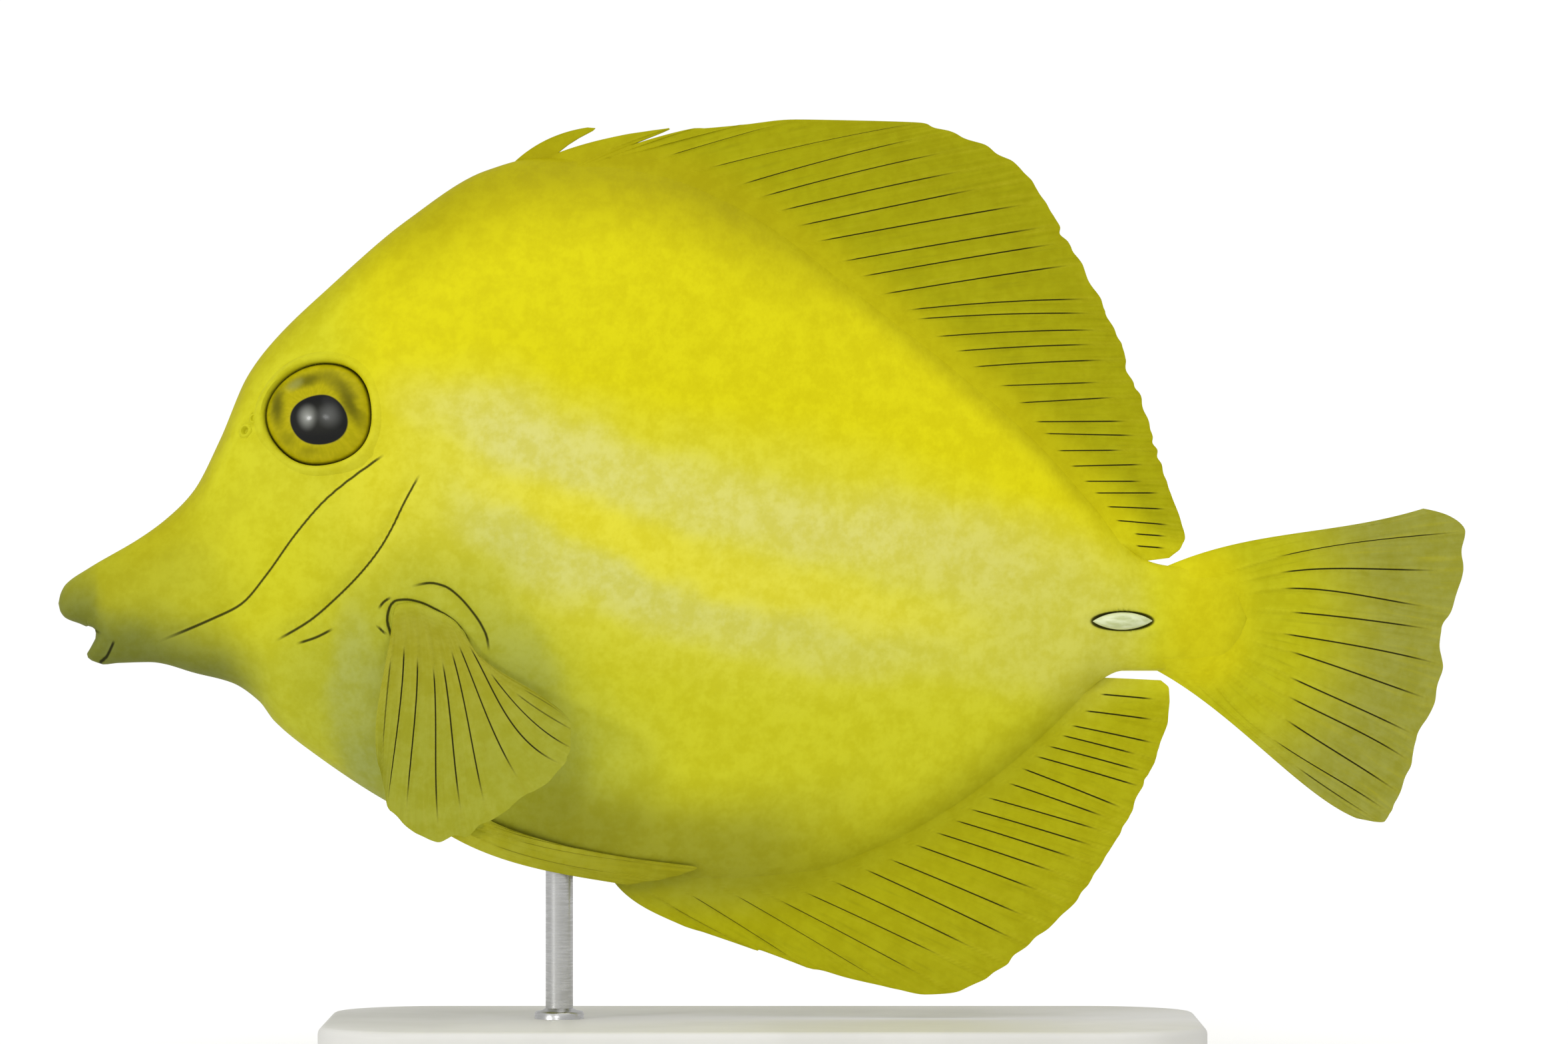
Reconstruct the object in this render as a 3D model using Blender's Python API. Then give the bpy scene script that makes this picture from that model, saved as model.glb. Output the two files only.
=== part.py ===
"""Yellow tang, a life-size still model on a flat display stand.

Metres, +Z up, head towards -X, left flank towards -Y. The origin is the middle of the
stand's underside. Shapes are worked out in millimetres on the fish's own axes and placed
by the function place: s runs back from the tip of the snout, h runs up from the body axis.
"""
import math

import bmesh
import bpy
import numpy as np
from mathutils import Matrix, Vector

MM = 0.001

TOTAL_LENGTH = 180.0      # tip of the snout to the rear edge of the tail fin
FLESH_LENGTH = 152.0      # tip of the snout to the end of the tail stalk
GAP = 0.3                 # space kept between touching pieces
BODY_SIDES = 28           # flats round a body section
BODY_RINGS = 56           # sections from the snout to the end of the tail stalk
WAIST = 0.42              # height of the widest level, as a share of the body depth
BACK_POWER = 1.12         # above 1 the back narrows to a keel
BELLY_POWER = 0.95        # below 1 the belly is full

BASE_SIZE = (112.0, 60.0, 6.0)
BASE_CORNER = 14.0
BASE_EDGE = 1.0
FIN_CLEARANCE = 3.0       # lowest fin above the base
LOWEST_FIN = -47.6
AXIS_HEIGHT = BASE_SIZE[2] + FIN_CLEARANCE - LOWEST_FIN
ROD_RADIUS = 1.75
ROD_S = 64.0

EYE_S, EYE_H = 33.3, 26.6
EYE_RADIUS = 6.4
EYE_DEPTH = 2.9
EYE_SINK = 0.9            # centre of the eyeball below the skin
RIM_RADIUS = 0.75
RIM_SINK = 0.2            # centre of the bead round the eye below the skin
NOSTRILS = ((24.2, 24.4, 0.6), (25.4, 25.9, 0.45))    # (s, h, radius)
NOSTRIL_DEPTH = 1.2

UPPER_LIP = ((2.3, 0, 1.9), (2.3, 2.6, 1.9))          # centre (s, y, h), half sizes
LOWER_LIP = ((6, 0, -3.4), (2.5, 2.6, 1.8))
MOUTH = ((2.5, -0.9), (8.2, -1.9), (8.2, -2.25), (2.5, -1.9))

SCALPEL_S, SCALPEL_H = 135.8, 0.2
SCALPEL_HALF = (4.1, 0.95, 1.15)

PLATE_RISE = 0.45         # gill cover above the flank
PLATE_DEPTH = 1.7         # gill cover below the flank
STALK_CUT = 129.0         # start of the tail stalk

NOTCH = 0.012             # how much shorter than its rays a soft membrane is
RIDGE_FOOT = 0.35         # from the crest of a ray to the foot of its ridge, in ray spacings
MIDLINE_THICKNESS = (1.5, 0.8, 0.5)       # root, tip of a ray, membrane
TAIL_THICKNESS = (1.9, 0.8, 0.5)
PECTORAL_THICKNESS = (1.5, 0.7, 0.5)
PELVIC_THICKNESS = (1.3, 0.6, 0.5)
PECTORAL_ROOT = (46.5, 0)                 # middle of the fleshy root (s, h)
PECTORAL_ROOT_HALF = (4, 2.8, 1.6)
PECTORAL_SPREAD = 7.5                     # how far the tips stand off the flank
PELVIC_ROOT_Y = 1.9                       # from the middle plane to the root
PELVIC_BEND = 0.35                        # share of the ray in which the blade turns out

# Side view of the flesh: (s, h) along the back, along the belly, and (s, half width)
BACK = [(0, 2.4), (0.3, 3.7), (1, 4.9), (3.7, 6.8), (10.5, 10.8), (13.9, 13.3), (17.3, 16.8),
        (20.7, 23.4), (24.1, 31.3), (27.5, 35.9), (34.3, 42.5), (44.5, 51.3), (54.7, 57.7),
        (61.5, 59.3), (69, 59.3), (76.5, 58.2), (86, 54.4), (104, 41.4), (124, 24.8),
        (132, 16), (138.8, 8), (142, 7.2), (147, 6.9), (150.5, 4.6), (152, 0.5)]
BELLY = [(0, 2.4), (0.3, 1.3), (1, 0.5), (3, -0.3), (4.6, -1.2), (5.6, -3.8), (6.8, -5.2),
         (11.6, -5.1), (17.7, -6.5), (22.2, -7.7), (25.7, -10.1), (27.6, -12.6),
         (32.6, -16.7), (42.2, -23), (50, -26.8), (60, -29.6), (72, -32.6), (84, -33.8),
         (95, -33), (104, -30), (113, -25.2), (122, -18.6), (130, -11), (133, -7.5),
         (136, -6.2), (143, -6.2), (148, -5.4), (151, -2.6), (152, 0.5)]
HALF_WIDTH = [(0, 0), (0.3, 1.1), (1, 1.8), (2.5, 2.4), (5, 2.8), (8, 3.2), (12, 3.9),
              (17, 5.1), (22, 6.6), (28, 8.2), (36, 9.8), (45, 11.2), (56, 12.1), (68, 12),
              (85, 10.6), (100, 8.7), (115, 6.6), (127, 4.9), (136, 3.7), (143, 3.1),
              (148, 2.5), (151, 1.4), (152, 0)]

# Edges of the gill cover in side view
CHEEK_LINE = [(41, 20.6), (34.2, 15.4), (30.7, 11.4), (26.7, 5.9), (23.6, 2.4), (19.6, 0.3),
              (16.6, -1.1), (16.4, -2.3)]
GILL_LINE = [(46, 17.9), (44.6, 15.1), (43.2, 12.2), (41.7, 9.6), (39.2, 6.4), (35.7, 2.9),
             (32.6, 0.3), (28.6, -2.1)]
NECK_LINE = [(50.5, 75), (49.6, 45), (47.6, 26), *GILL_LINE, (25.5, -5.5), (23.5, -20)]

# Fin stations: ray number, then the ray's root (s, h) and its tip (s, h)
DORSAL = [(0, 56.5, 56.6, 67.9, 63.1), (1, 65, 57.6, 78, 63.1), (2, 69, 57.8, 85, 63.2),
          (4, 75.5, 57, 97, 64.3), (8, 85, 53.6, 114, 62.9), (11, 92, 48.8, 123.5, 58.4),
          (14, 99.5, 43.4, 129.4, 49.4), (18, 110, 35, 134.8, 38.8), (22, 120.5, 26.4, 139, 28),
          (25, 128.5, 18.2, 141.6, 19.6), (27, 134, 11.6, 143.9, 10.8),
          (28, 137.2, 7.4, 142.4, 8.8)]
ANAL = [(0, 69.5, -30.4, 80.1, -38.9), (1, 74, -31.2, 87.6, -42.3), (2, 78.5, -32, 99.2, -45.2),
        (3, 82.5, -32.1, 104, -46.4), (5, 89, -32, 110.5, -47.6), (8, 98.5, -30.2, 119.5, -45.6),
        (11, 107.5, -26.4, 127.2, -39), (14, 116, -21.4, 133.9, -31.6),
        (17, 123.5, -15.2, 138.4, -22.2), (20, 129, -9.8, 142, -12.4),
        (22, 131.5, -7.4, 141.3, -8)]
CAUDAL = [(0, 137.5, 7.3, 174.5, 14.4), (1, 144.5, 5.6, 178.9, 13.5), (3, 147.5, 4.2, 180, 8.6),
          (5, 149, 2.6, 179, 3.6), (7, 149.4, 0.9, 176.8, -1.8), (9, 149.2, -0.8, 175.9, -7.6),
          (11, 148, -2.5, 173.9, -13.2), (13, 145, -4.2, 172.8, -19.8),
          (15, 139.6, -5.8, 169.9, -26)]
PECTORAL = [(0, 43.4, 0.2, 41.4, -20.8), (2, 44.3, 0, 43.4, -25.8), (4, 45.3, -0.1, 48.6, -28.7),
            (6, 46.4, -0.1, 53.6, -27), (8, 47.5, 0, 60, -22.6), (10, 48.6, 0.2, 65, -18),
            (11, 49.2, 0.4, 65.8, -14.6), (12, 49.8, 0.6, 62.5, -9.6)]
PELVIC = [(0, 46.2, -24.6, 73, -33.6), (1, 48.4, -24.8, 77, -33), (2, 50.8, -25, 81.8, -31.6),
          (3, 51.6, -24.6, 75.5, -30.1), (4, 52.4, -24.2, 68.5, -28.4),
          (5, 53.2, -23.9, 60.5, -26.3)]


def place(s, y, h):
    """A point of the fish, from millimetres on its own axes to metres in the world."""
    return Vector((s - TOTAL_LENGTH / 2, y, h + AXIS_HEIGHT)) * MM


def smooth_curve(points):
    """A cubic through the points that doesn't overshoot between them."""
    x, y = np.array(points, dtype=float).T
    step = np.diff(x)
    rise = np.diff(y) / step
    slope = np.zeros_like(y)
    slope[0], slope[-1] = rise[0], rise[-1]
    for i in range(1, len(x) - 1):
        if rise[i - 1] * rise[i] > 0:
            slope[i] = 2 * rise[i - 1] * rise[i] / (rise[i - 1] + rise[i])

    def value(at):
        k = int(np.clip(np.searchsorted(x, at) - 1, 0, len(step) - 1))
        t = (at - x[k]) / step[k]
        a = y[k] * (1 + 2 * t) + slope[k] * step[k] * t
        b = y[k + 1] * (3 - 2 * t) + slope[k + 1] * step[k] * (t - 1)
        return a * (1 - t) ** 2 + b * t ** 2

    return value


def rounded(points, steps=3):
    """The same outline with extra points on a smooth curve through the given ones."""
    walk = np.concatenate([[0], np.cumsum(np.linalg.norm(np.diff(points, axis=0), axis=1))])
    across = smooth_curve(list(zip(walk, [point[0] for point in points])))
    up = smooth_curve(list(zip(walk, [point[1] for point in points])))
    finer = np.interp(np.arange((len(points) - 1) * steps + 1) / steps, range(len(points)), walk)
    return [(across(at), up(at)) for at in finer]


def smooth_path(rows):
    """Smooth curves through every column of the rows after the first, which is the key."""
    columns = [smooth_curve([(row[0], row[i]) for row in rows]) for i in range(1, len(rows[0]))]
    return lambda key: [column(key) for column in columns]


back_at = smooth_curve(BACK)
belly_at = smooth_curve(BELLY)
half_width_at = smooth_curve(HALF_WIDTH)


def section_point(s, angle):
    """Half width and height of the body section at s, angle up from the widest level."""
    top, bottom = back_at(s), belly_at(s)
    waist = bottom + WAIST * (top - bottom)
    up = math.sin(angle) >= 0
    reach = top - waist if up else waist - bottom
    power = BACK_POWER if up else BELLY_POWER
    side = max(abs(math.cos(angle)), 0.0) ** power * math.copysign(1, math.cos(angle))
    return half_width_at(s) * side, waist + reach * math.sin(angle)


def flank_at(s, h):
    """Half width of the body at a place of its side view."""
    top, bottom = back_at(s), belly_at(s)
    waist = bottom + WAIST * (top - bottom)
    reach = top - waist if h >= waist else waist - bottom
    sine = min(abs(h - waist) / reach, 1)
    return half_width_at(s) * (1 - sine * sine) ** ((BACK_POWER if h >= waist else BELLY_POWER) / 2)


def skin_frame(s, h, reach):
    """Matrix that sets a piece on the left flank, its Z pointing out of the skin."""
    along = (flank_at(s + reach, h) - flank_at(s - reach, h)) / (2 * reach)
    up = (flank_at(s, h + reach) - flank_at(s, h - reach)) / (2 * reach)
    out = Vector((-along, -1, -up)).normalized()
    side = Vector((1, 0, 0)) - out * out.x
    side.normalize()
    mean = (flank_at(s + reach, h) + flank_at(s - reach, h) + flank_at(s, h + reach)
            + flank_at(s, h - reach)) / 4
    turn = Matrix((side, out.cross(side), out)).transposed().to_4x4()
    return Matrix.Translation(place(s, -mean, h)) @ turn


def start_clean():
    """Remove the objects and materials that a new file comes with."""
    for thing in list(bpy.data.objects):
        bpy.data.objects.remove(thing, do_unlink=True)
    for old in list(bpy.data.materials):
        bpy.data.materials.remove(old)


def new_object(name, bm):
    """Make an object in the scene from a bmesh, with its faces pointing out."""
    bmesh.ops.recalc_face_normals(bm, faces=bm.faces[:])
    mesh = bpy.data.meshes.new(name)
    bm.to_mesh(mesh)
    bm.free()
    thing = bpy.data.objects.new(name, mesh)
    bpy.context.scene.collection.objects.link(thing)
    return thing


def keep_largest(mesh):
    """Keep only the largest closed surface of a mesh."""
    bm = bmesh.new()
    bm.from_mesh(mesh)
    unseen = set(bm.faces)
    shells = []
    while unseen:
        shell = {unseen.pop()}
        front = list(shell)
        while front:
            face = front.pop()
            for edge in face.edges:
                for other in edge.link_faces:
                    if other in unseen:
                        unseen.discard(other)
                        shell.add(other)
                        front.append(other)
        shells.append(shell)
    shells.sort(key=lambda shell: sum(face.calc_area() for face in shell))
    scraps = [face for shell in shells[:-1] for face in shell]
    bmesh.ops.delete(bm, geom=scraps, context="FACES")
    bm.to_mesh(mesh)
    bm.free()


def combine(target, tools, operation):
    """Apply one exact Boolean with a list of closed objects, and remove them."""
    group = bpy.data.collections.new("tools")
    bpy.context.scene.collection.children.link(group)
    for tool in tools:
        group.objects.link(tool)
        tool.hide_render = True
        tool.display_type = "WIRE"
    modifier = target.modifiers.new("combine", "BOOLEAN")
    modifier.operation = operation
    modifier.operand_type = "COLLECTION"
    modifier.collection = group
    modifier.solver = "EXACT"
    shaped = target.evaluated_get(bpy.context.evaluated_depsgraph_get())
    mesh = bpy.data.meshes.new_from_object(shaped)
    target.modifiers.clear()
    target.data = mesh
    for tool in tools:
        bpy.data.objects.remove(tool, do_unlink=True)
    bpy.data.collections.remove(group)
    keep_largest(mesh)


def body_solid(name, swell=0.0):
    """The flesh from snout to tail stalk in one piece, swollen by a distance."""
    bm = bmesh.new()
    bmesh.ops.create_uvsphere(bm, u_segments=BODY_SIDES, v_segments=BODY_RINGS, radius=1)
    for vert in bm.verts:
        x, y, z = vert.co
        s = FLESH_LENGTH * (1 - max(min(z, 1), -1)) / 2
        half, h = section_point(s, math.atan2(x, y))
        if abs(z) > 1 - 1e-6:
            half, h = 0, back_at(s)
        vert.co = place(s, -half, h)
    bmesh.ops.recalc_face_normals(bm, faces=bm.faces[:])
    bm.normal_update()
    if swell:
        for vert in bm.verts:
            vert.co += vert.normal * swell * MM
    return new_object(name, bm)


def prism(name, outline, y_from, y_to):
    """A flat outline of (s, h) points in side view, carried across the fish."""
    curve = bpy.data.curves.new(name, "CURVE")
    curve.dimensions = "2D"
    curve.fill_mode = "BOTH"
    curve.extrude = abs(y_to - y_from) / 2 * MM
    spline = curve.splines.new("POLY")
    spline.points.add(len(outline) - 1)
    for point, (s, h) in zip(spline.points, outline):
        spot = place(s, 0, h)
        point.co = (spot.x, spot.z, 0, 1)
    spline.use_cyclic_u = True
    guide = bpy.data.objects.new(name, curve)
    bpy.context.scene.collection.objects.link(guide)
    shaped = guide.evaluated_get(bpy.context.evaluated_depsgraph_get())
    bm = bmesh.new()
    bm.from_mesh(bpy.data.meshes.new_from_object(shaped))
    bpy.data.objects.remove(guide, do_unlink=True)
    bmesh.ops.remove_doubles(bm, verts=bm.verts[:], dist=1e-7)
    stand_up = Matrix.Rotation(math.pi / 2, 4, "X")
    bmesh.ops.transform(bm, matrix=stand_up, verts=bm.verts[:])
    bmesh.ops.translate(bm, vec=(0, (y_from + y_to) / 2 * MM, 0), verts=bm.verts[:])
    return new_object(name, bm)


def ball(name, frame, half_sizes, sides=14, rings=8):
    """An ellipsoid set in a frame, its half sizes in millimetres."""
    bm = bmesh.new()
    bmesh.ops.create_uvsphere(bm, u_segments=sides, v_segments=rings, radius=1)
    size = Matrix.Diagonal((*(half * MM for half in half_sizes), 1))
    bmesh.ops.transform(bm, matrix=frame @ size, verts=bm.verts[:])
    return new_object(name, bm)


def peg(name, frame, radius, low, high, sides=12):
    """A round peg along a frame's Z, from low to high in millimetres."""
    bm = bmesh.new()
    bmesh.ops.create_cone(bm, cap_ends=True, segments=sides, radius1=radius * MM,
                          radius2=radius * MM, depth=(high - low) * MM)
    shift = Matrix.Translation((0, 0, (low + high) / 2 * MM))
    bmesh.ops.transform(bm, matrix=frame @ shift, verts=bm.verts[:])
    return new_object(name, bm)


def ring(name, frame, major, minor, sides=24, flats=6):
    """A round bead in the plane of a frame: a small circle swept about its Z."""
    bm = bmesh.new()
    bmesh.ops.create_circle(bm, segments=flats, radius=minor * MM)
    stand = Matrix.Translation((major * MM, 0, 0)) @ Matrix.Rotation(math.pi / 2, 4, "X")
    bmesh.ops.transform(bm, matrix=stand, verts=bm.verts[:])
    bmesh.ops.spin(bm, geom=bm.verts[:] + bm.edges[:], axis=(0, 0, 1), cent=(0, 0, 0),
                   angle=2 * math.pi, steps=sides, use_merge=True)
    bmesh.ops.transform(bm, matrix=frame, verts=bm.verts[:])
    return new_object(name, bm)


def mirrored(frame, side):
    """A frame of the left flank, or its mirror image on the right flank."""
    return frame if side == "left" else Matrix.Scale(-1, 4, (0, 1, 0)) @ frame


def front_region():
    """Outline in side view of everything before the gill opening."""
    return [(-5, 75), *rounded(NECK_LINE), (-5, -20)]


def rear_region():
    """Outline behind the gill opening, up to the tail stalk."""
    step = GAP * 1.4
    return [(s + step, h) for s, h in rounded(NECK_LINE)] + [(STALK_CUT, -60), (STALK_CUT, 75)]


def plate_outline(spread):
    """Outline of the gill cover, spread outwards by a distance."""
    top = [(45.4, 20.3), (43.6, 21.4)]
    under = [(17.6, -3), (23, -3.3)]
    gill = [point for point in rounded(NECK_LINE) if GILL_LINE[-1][0] <= point[0] <= GILL_LINE[0][0]]
    outline = rounded(CHEEK_LINE) + under + gill[::-1] + top
    middle = np.mean(outline, axis=0)
    points = np.array(outline)
    ahead = np.roll(points, -1, axis=0) - np.roll(points, 1, axis=0)
    out = np.stack([ahead[:, 1], -ahead[:, 0]], axis=1)
    out /= np.linalg.norm(out, axis=1)[:, None]
    if np.sum(out * (points - middle)) < 0:
        out = -out
    return [tuple(row) for row in points + out * spread]


def side_range(side, inner, outer):
    """Limits across the fish of a tool that works on one flank."""
    return (-outer, -inner) if side == "left" else (inner, outer)


def gill_cover(side):
    """A thin plate over the gills, lying in a recess of the head."""
    plate = body_solid(f"gill_cover_{side}", PLATE_RISE)
    combine(plate, [prism("band", plate_outline(0), *side_range(side, 1, 30))], "INTERSECT")
    combine(plate, [body_solid("inner", -PLATE_DEPTH)], "DIFFERENCE")
    return plate


def gill_recess(side):
    """What is taken from the head to let the gill cover in."""
    recess = prism("recess", plate_outline(GAP), *side_range(side, 1, 30))
    combine(recess, [body_solid("inner", -PLATE_DEPTH - GAP)], "DIFFERENCE")
    return recess


def eye_frame():
    return skin_frame(EYE_S, EYE_H, EYE_RADIUS)


def eyeball(name, side, grow=0.0):
    """A flattened ball, half sunk in the head."""
    frame = mirrored(eye_frame(), side) @ Matrix.Translation((0, 0, -EYE_SINK * MM))
    size = EYE_RADIUS + grow
    return ball(name, frame, (size, size, EYE_DEPTH + grow), sides=24, rings=10)


def lips():
    """The upper lip, a bulb at the tip, and the smaller lower lip behind it."""
    return [ball("lip", Matrix.Translation(place(*centre)), half_sizes)
            for centre, half_sizes in (UPPER_LIP, LOWER_LIP)]


def head():
    """Head with lips, mouth slit, nostrils, eye rims, sockets and gill recesses."""
    solid = body_solid("head")
    added = lips()
    for side in ("left", "right"):
        rim = mirrored(eye_frame(), side) @ Matrix.Translation((0, 0, -RIM_SINK * MM))
        added.append(ring(f"rim_{side}", rim, EYE_RADIUS + GAP + RIM_SINK, RIM_RADIUS))
    combine(solid, added, "UNION")
    combine(solid, [prism("front", front_region(), -40, 40)], "INTERSECT")
    taken = [prism("mouth", MOUTH, -10, 10)]
    for side in ("left", "right"):
        taken.append(eyeball(f"socket_{side}", side, GAP))
        taken.append(gill_recess(side))
        for s, h, radius in NOSTRILS:
            frame = mirrored(skin_frame(s, h, 0.5), side)
            taken.append(peg("nostril", frame, radius, -NOSTRIL_DEPTH, 2, sides=8))
    for tool in taken:
        combine(solid, [tool], "DIFFERENCE")
    return solid


def trunk():
    """The flanks, back and belly from the gill opening to the tail stalk."""
    solid = body_solid("trunk")
    combine(solid, [prism("rear", rear_region(), -40, 40)], "INTERSECT")
    return solid


def tail_stalk():
    """The stalk that carries the tail fin, with a groove for each scalpel."""
    solid = body_solid("tail_stalk")
    start = STALK_CUT + GAP
    block = [(start, 60), (start, -60), (160, -60), (160, 60)]
    combine(solid, [prism("stalk", block, -40, 40)], "INTERSECT")
    for side in ("left", "right"):
        combine(solid, [scalpel(f"groove_{side}", side, GAP)], "DIFFERENCE")
    return solid


def scalpel(name, side, grow=0.0):
    """The folded spine, a slim spindle lying in the side of the tail stalk."""
    frame = mirrored(skin_frame(SCALPEL_S, SCALPEL_H, 2.0), side)
    half = [size + grow for size in SCALPEL_HALF]
    return ball(name, frame, (half[0], half[2], half[1]), sides=12, rings=8)


def ray_columns(rays):
    """Ray numbers of the columns of a fin: each crest with the foot of its slope each side."""
    columns = []
    for ray in range(rays):
        columns += [ray - RIDGE_FOOT, ray, ray + RIDGE_FOOT]
    return columns[1:-1]


def fin(name, stations, thickness, shape, notches=None, rows=4, late=0.5):
    """A fin as one sheet whose rays stand up as ridges on both faces.

    thickness is (root, tip of a ray, membrane); shape gives the bow of a ray as a share of
    its length and the distance of the sheet from the middle plane; notches gives how much
    shorter the membrane is just behind a ray and just before the next one. The bow peaks a
    third of the way out when late is 0 and two thirds of the way out when it is 1.
    """
    at_ray = smooth_path(stations)
    columns = ray_columns(stations[-1][0] + 1)
    root, tip_thick, membrane = thickness
    bm = bmesh.new()
    bmesh.ops.create_grid(bm, x_segments=len(columns) - 1, y_segments=rows, size=0.5)
    bmesh.ops.triangulate(bm, faces=bm.faces[:])
    copied = bmesh.ops.extrude_face_region(bm, geom=bm.faces[:], use_keep_orig=True)
    for item in copied["geom"]:
        if isinstance(item, bmesh.types.BMVert):
            item.co.z = 1
    for vert in bm.verts:
        column = columns[round((vert.co.x + 0.5) * (len(columns) - 1))]
        along = vert.co.y + 0.5
        side = 1 if vert.co.z > 0.5 else -1
        crest = abs(column - round(column)) < 0.01
        s0, h0, s1, h1 = at_ray(column)
        bow, lean = shape(column)
        behind, before = (notches or {}).get(math.floor(column), (NOTCH, NOTCH))
        shorter = 0 if crest else behind if column % 1 < 0.5 else before
        t = along * (1 - shorter)
        bend = bow * 6.75 * t * (1 - t) * (t * late + (1 - t) * (1 - late))
        s = s0 + (s1 - s0) * t - bend * (h1 - h0)
        h = h0 + (h1 - h0) * t + bend * (s1 - s0)
        full = root + (tip_thick - root) * along
        thick = full if crest else min(membrane + (root - membrane) * (1 - along) ** 3, full)
        vert.co = place(s, lean(s, h, along) + side * thick / 2, h)
    bmesh.ops.triangulate(bm, faces=[face for face in bm.faces if len(face.verts) > 3])
    return new_object(name, bm)


def flat(s, h, along):
    """A sheet in the middle plane of the fish."""
    return 0.0


def rooted(sheet):
    """Trim a fin's root so that it meets the skin with the usual gap."""
    combine(sheet, [body_solid("skin", GAP)], "DIFFERENCE")
    return sheet


def dorsal_fin():
    """Five spines, the first two with free tips, and the soft rays swept back."""
    def shape(ray):
        return np.interp(ray, (0, 1, 2, 5, 17), (0.08, 0, 0, 0.047, 0)), flat
    notches = {0: (0.5, 0.14), 1: (0.45, 0.16), 2: (0.06, 0.04), 3: (0.05, 0.03)}
    return rooted(fin("dorsal_fin", DORSAL, MIDLINE_THICKNESS, shape, notches))


def anal_fin():
    """Three spines and the soft rays, swept back and down."""
    def shape(ray):
        return np.interp(ray, (0, 1, 9), (-0.13, -0.07, 0)), flat
    notches = {0: (0.03, 0.03), 1: (0.05, 0.03), 2: (0.04, 0.02)}
    return rooted(fin("anal_fin", ANAL, MIDLINE_THICKNESS, shape, notches, late=0.3))


def tail_fin():
    """The tail fin, nearly straight behind, its outer rays the stoutest."""
    def shape(ray):
        return np.interp(ray, (0, 2, 8, 15), (0.01, 0, 0, -0.065)), flat
    return rooted(fin("tail_fin", CAUDAL, TAIL_THICKNESS, shape, rows=5, late=1))


def pectoral_fin(side):
    """A fan that hangs from a fleshy root behind the gill cover and stands off the flank."""
    turn = -1 if side == "left" else 1
    start = flank_at(*PECTORAL_ROOT) - 0.4

    def lean(s, h, along):
        behind = 0.05 * (s - PECTORAL_ROOT[0]) * along
        return turn * (start + PECTORAL_SPREAD * along ** 1.2 + behind)

    def shape(ray):
        return 0.07 * math.cos(math.pi * ray / PECTORAL[-1][0]), lean
    sheet = fin(f"pectoral_fin_{side}", PECTORAL, PECTORAL_THICKNESS, shape)
    root = ball("root", mirrored(skin_frame(*PECTORAL_ROOT, 2), side), PECTORAL_ROOT_HALF)
    combine(sheet, [root], "UNION")
    return rooted(sheet)


def pelvic_fin(side):
    """A narrow blade that lies back along the lower edge of the belly."""
    turn = -1 if side == "left" else 1

    def lean(s, h, along):
        free = 3.1 + 0.42 * (h + 31.5) + 0.05 * (s - 60)
        blend = min(along / PELVIC_BEND, 1)
        blend = blend * blend * (3 - 2 * blend)
        return turn * (PELVIC_ROOT_Y + (free - PELVIC_ROOT_Y) * blend)

    def shape(ray):
        return min(-0.08 + 0.015 * ray, -0.035), lean
    sheet = fin(f"pelvic_fin_{side}", PELVIC, PELVIC_THICKNESS, shape, rows=6, late=0.3)
    return rooted(sheet)


def stand_base():
    """A flat plate with round corners and a softened upper edge."""
    long, wide, tall = BASE_SIZE
    bm = bmesh.new()
    bmesh.ops.create_cube(bm, size=1)
    bmesh.ops.scale(bm, vec=(long * MM, wide * MM, tall * MM), verts=bm.verts[:])
    bmesh.ops.translate(bm, vec=(0, 0, tall / 2 * MM), verts=bm.verts[:])
    upright = [edge for edge in bm.edges if abs(edge.verts[0].co.z - edge.verts[1].co.z) > 1e-6]
    bmesh.ops.bevel(bm, geom=upright, offset=BASE_CORNER * MM, segments=6, profile=0.5,
                    affect="EDGES", material=-1)
    rim = [edge for edge in bm.edges if min(vert.co.z for vert in edge.verts) > (tall - 0.1) * MM]
    bmesh.ops.bevel(bm, geom=rim, offset=BASE_EDGE * MM, segments=2, profile=0.5,
                    affect="EDGES", material=-1)
    return new_object("stand_base", bm)


def stand_rod():
    """A round rod from the base to the belly, shaped to the skin at its upper end."""
    low = BASE_SIZE[2] + GAP - AXIS_HEIGHT
    rod = peg("stand_rod", Matrix.Translation(place(ROD_S, 0, 0)), ROD_RADIUS, low, -26, sides=20)
    return rooted(rod)


def dress(thing, colour, roughness, metallic=0.0):
    """Give a piece a material of its own and smooth shading."""
    material = bpy.data.materials.new(thing.name)
    material.use_nodes = True
    shader = material.node_tree.nodes["Principled BSDF"]
    shader.inputs["Base Color"].default_value = (*colour, 1)
    shader.inputs["Roughness"].default_value = roughness
    shader.inputs["Metallic"].default_value = metallic
    thing.data.materials.clear()
    thing.data.materials.append(material)
    thing.data.shade_smooth()
    thing.data.set_sharp_from_angle(angle=math.radians(35))


YELLOW = (0.74, 0.68, 0.02)
FIN_YELLOW = (0.38, 0.35, 0.01)
PALE_YELLOW = (0.62, 0.60, 0.10)
IRIS = (0.42, 0.38, 0.02)
BONE = (0.62, 0.67, 0.35)
STAND_PAINT = (0.75, 0.74, 0.71)
STEEL = (0.6, 0.6, 0.6)


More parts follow.
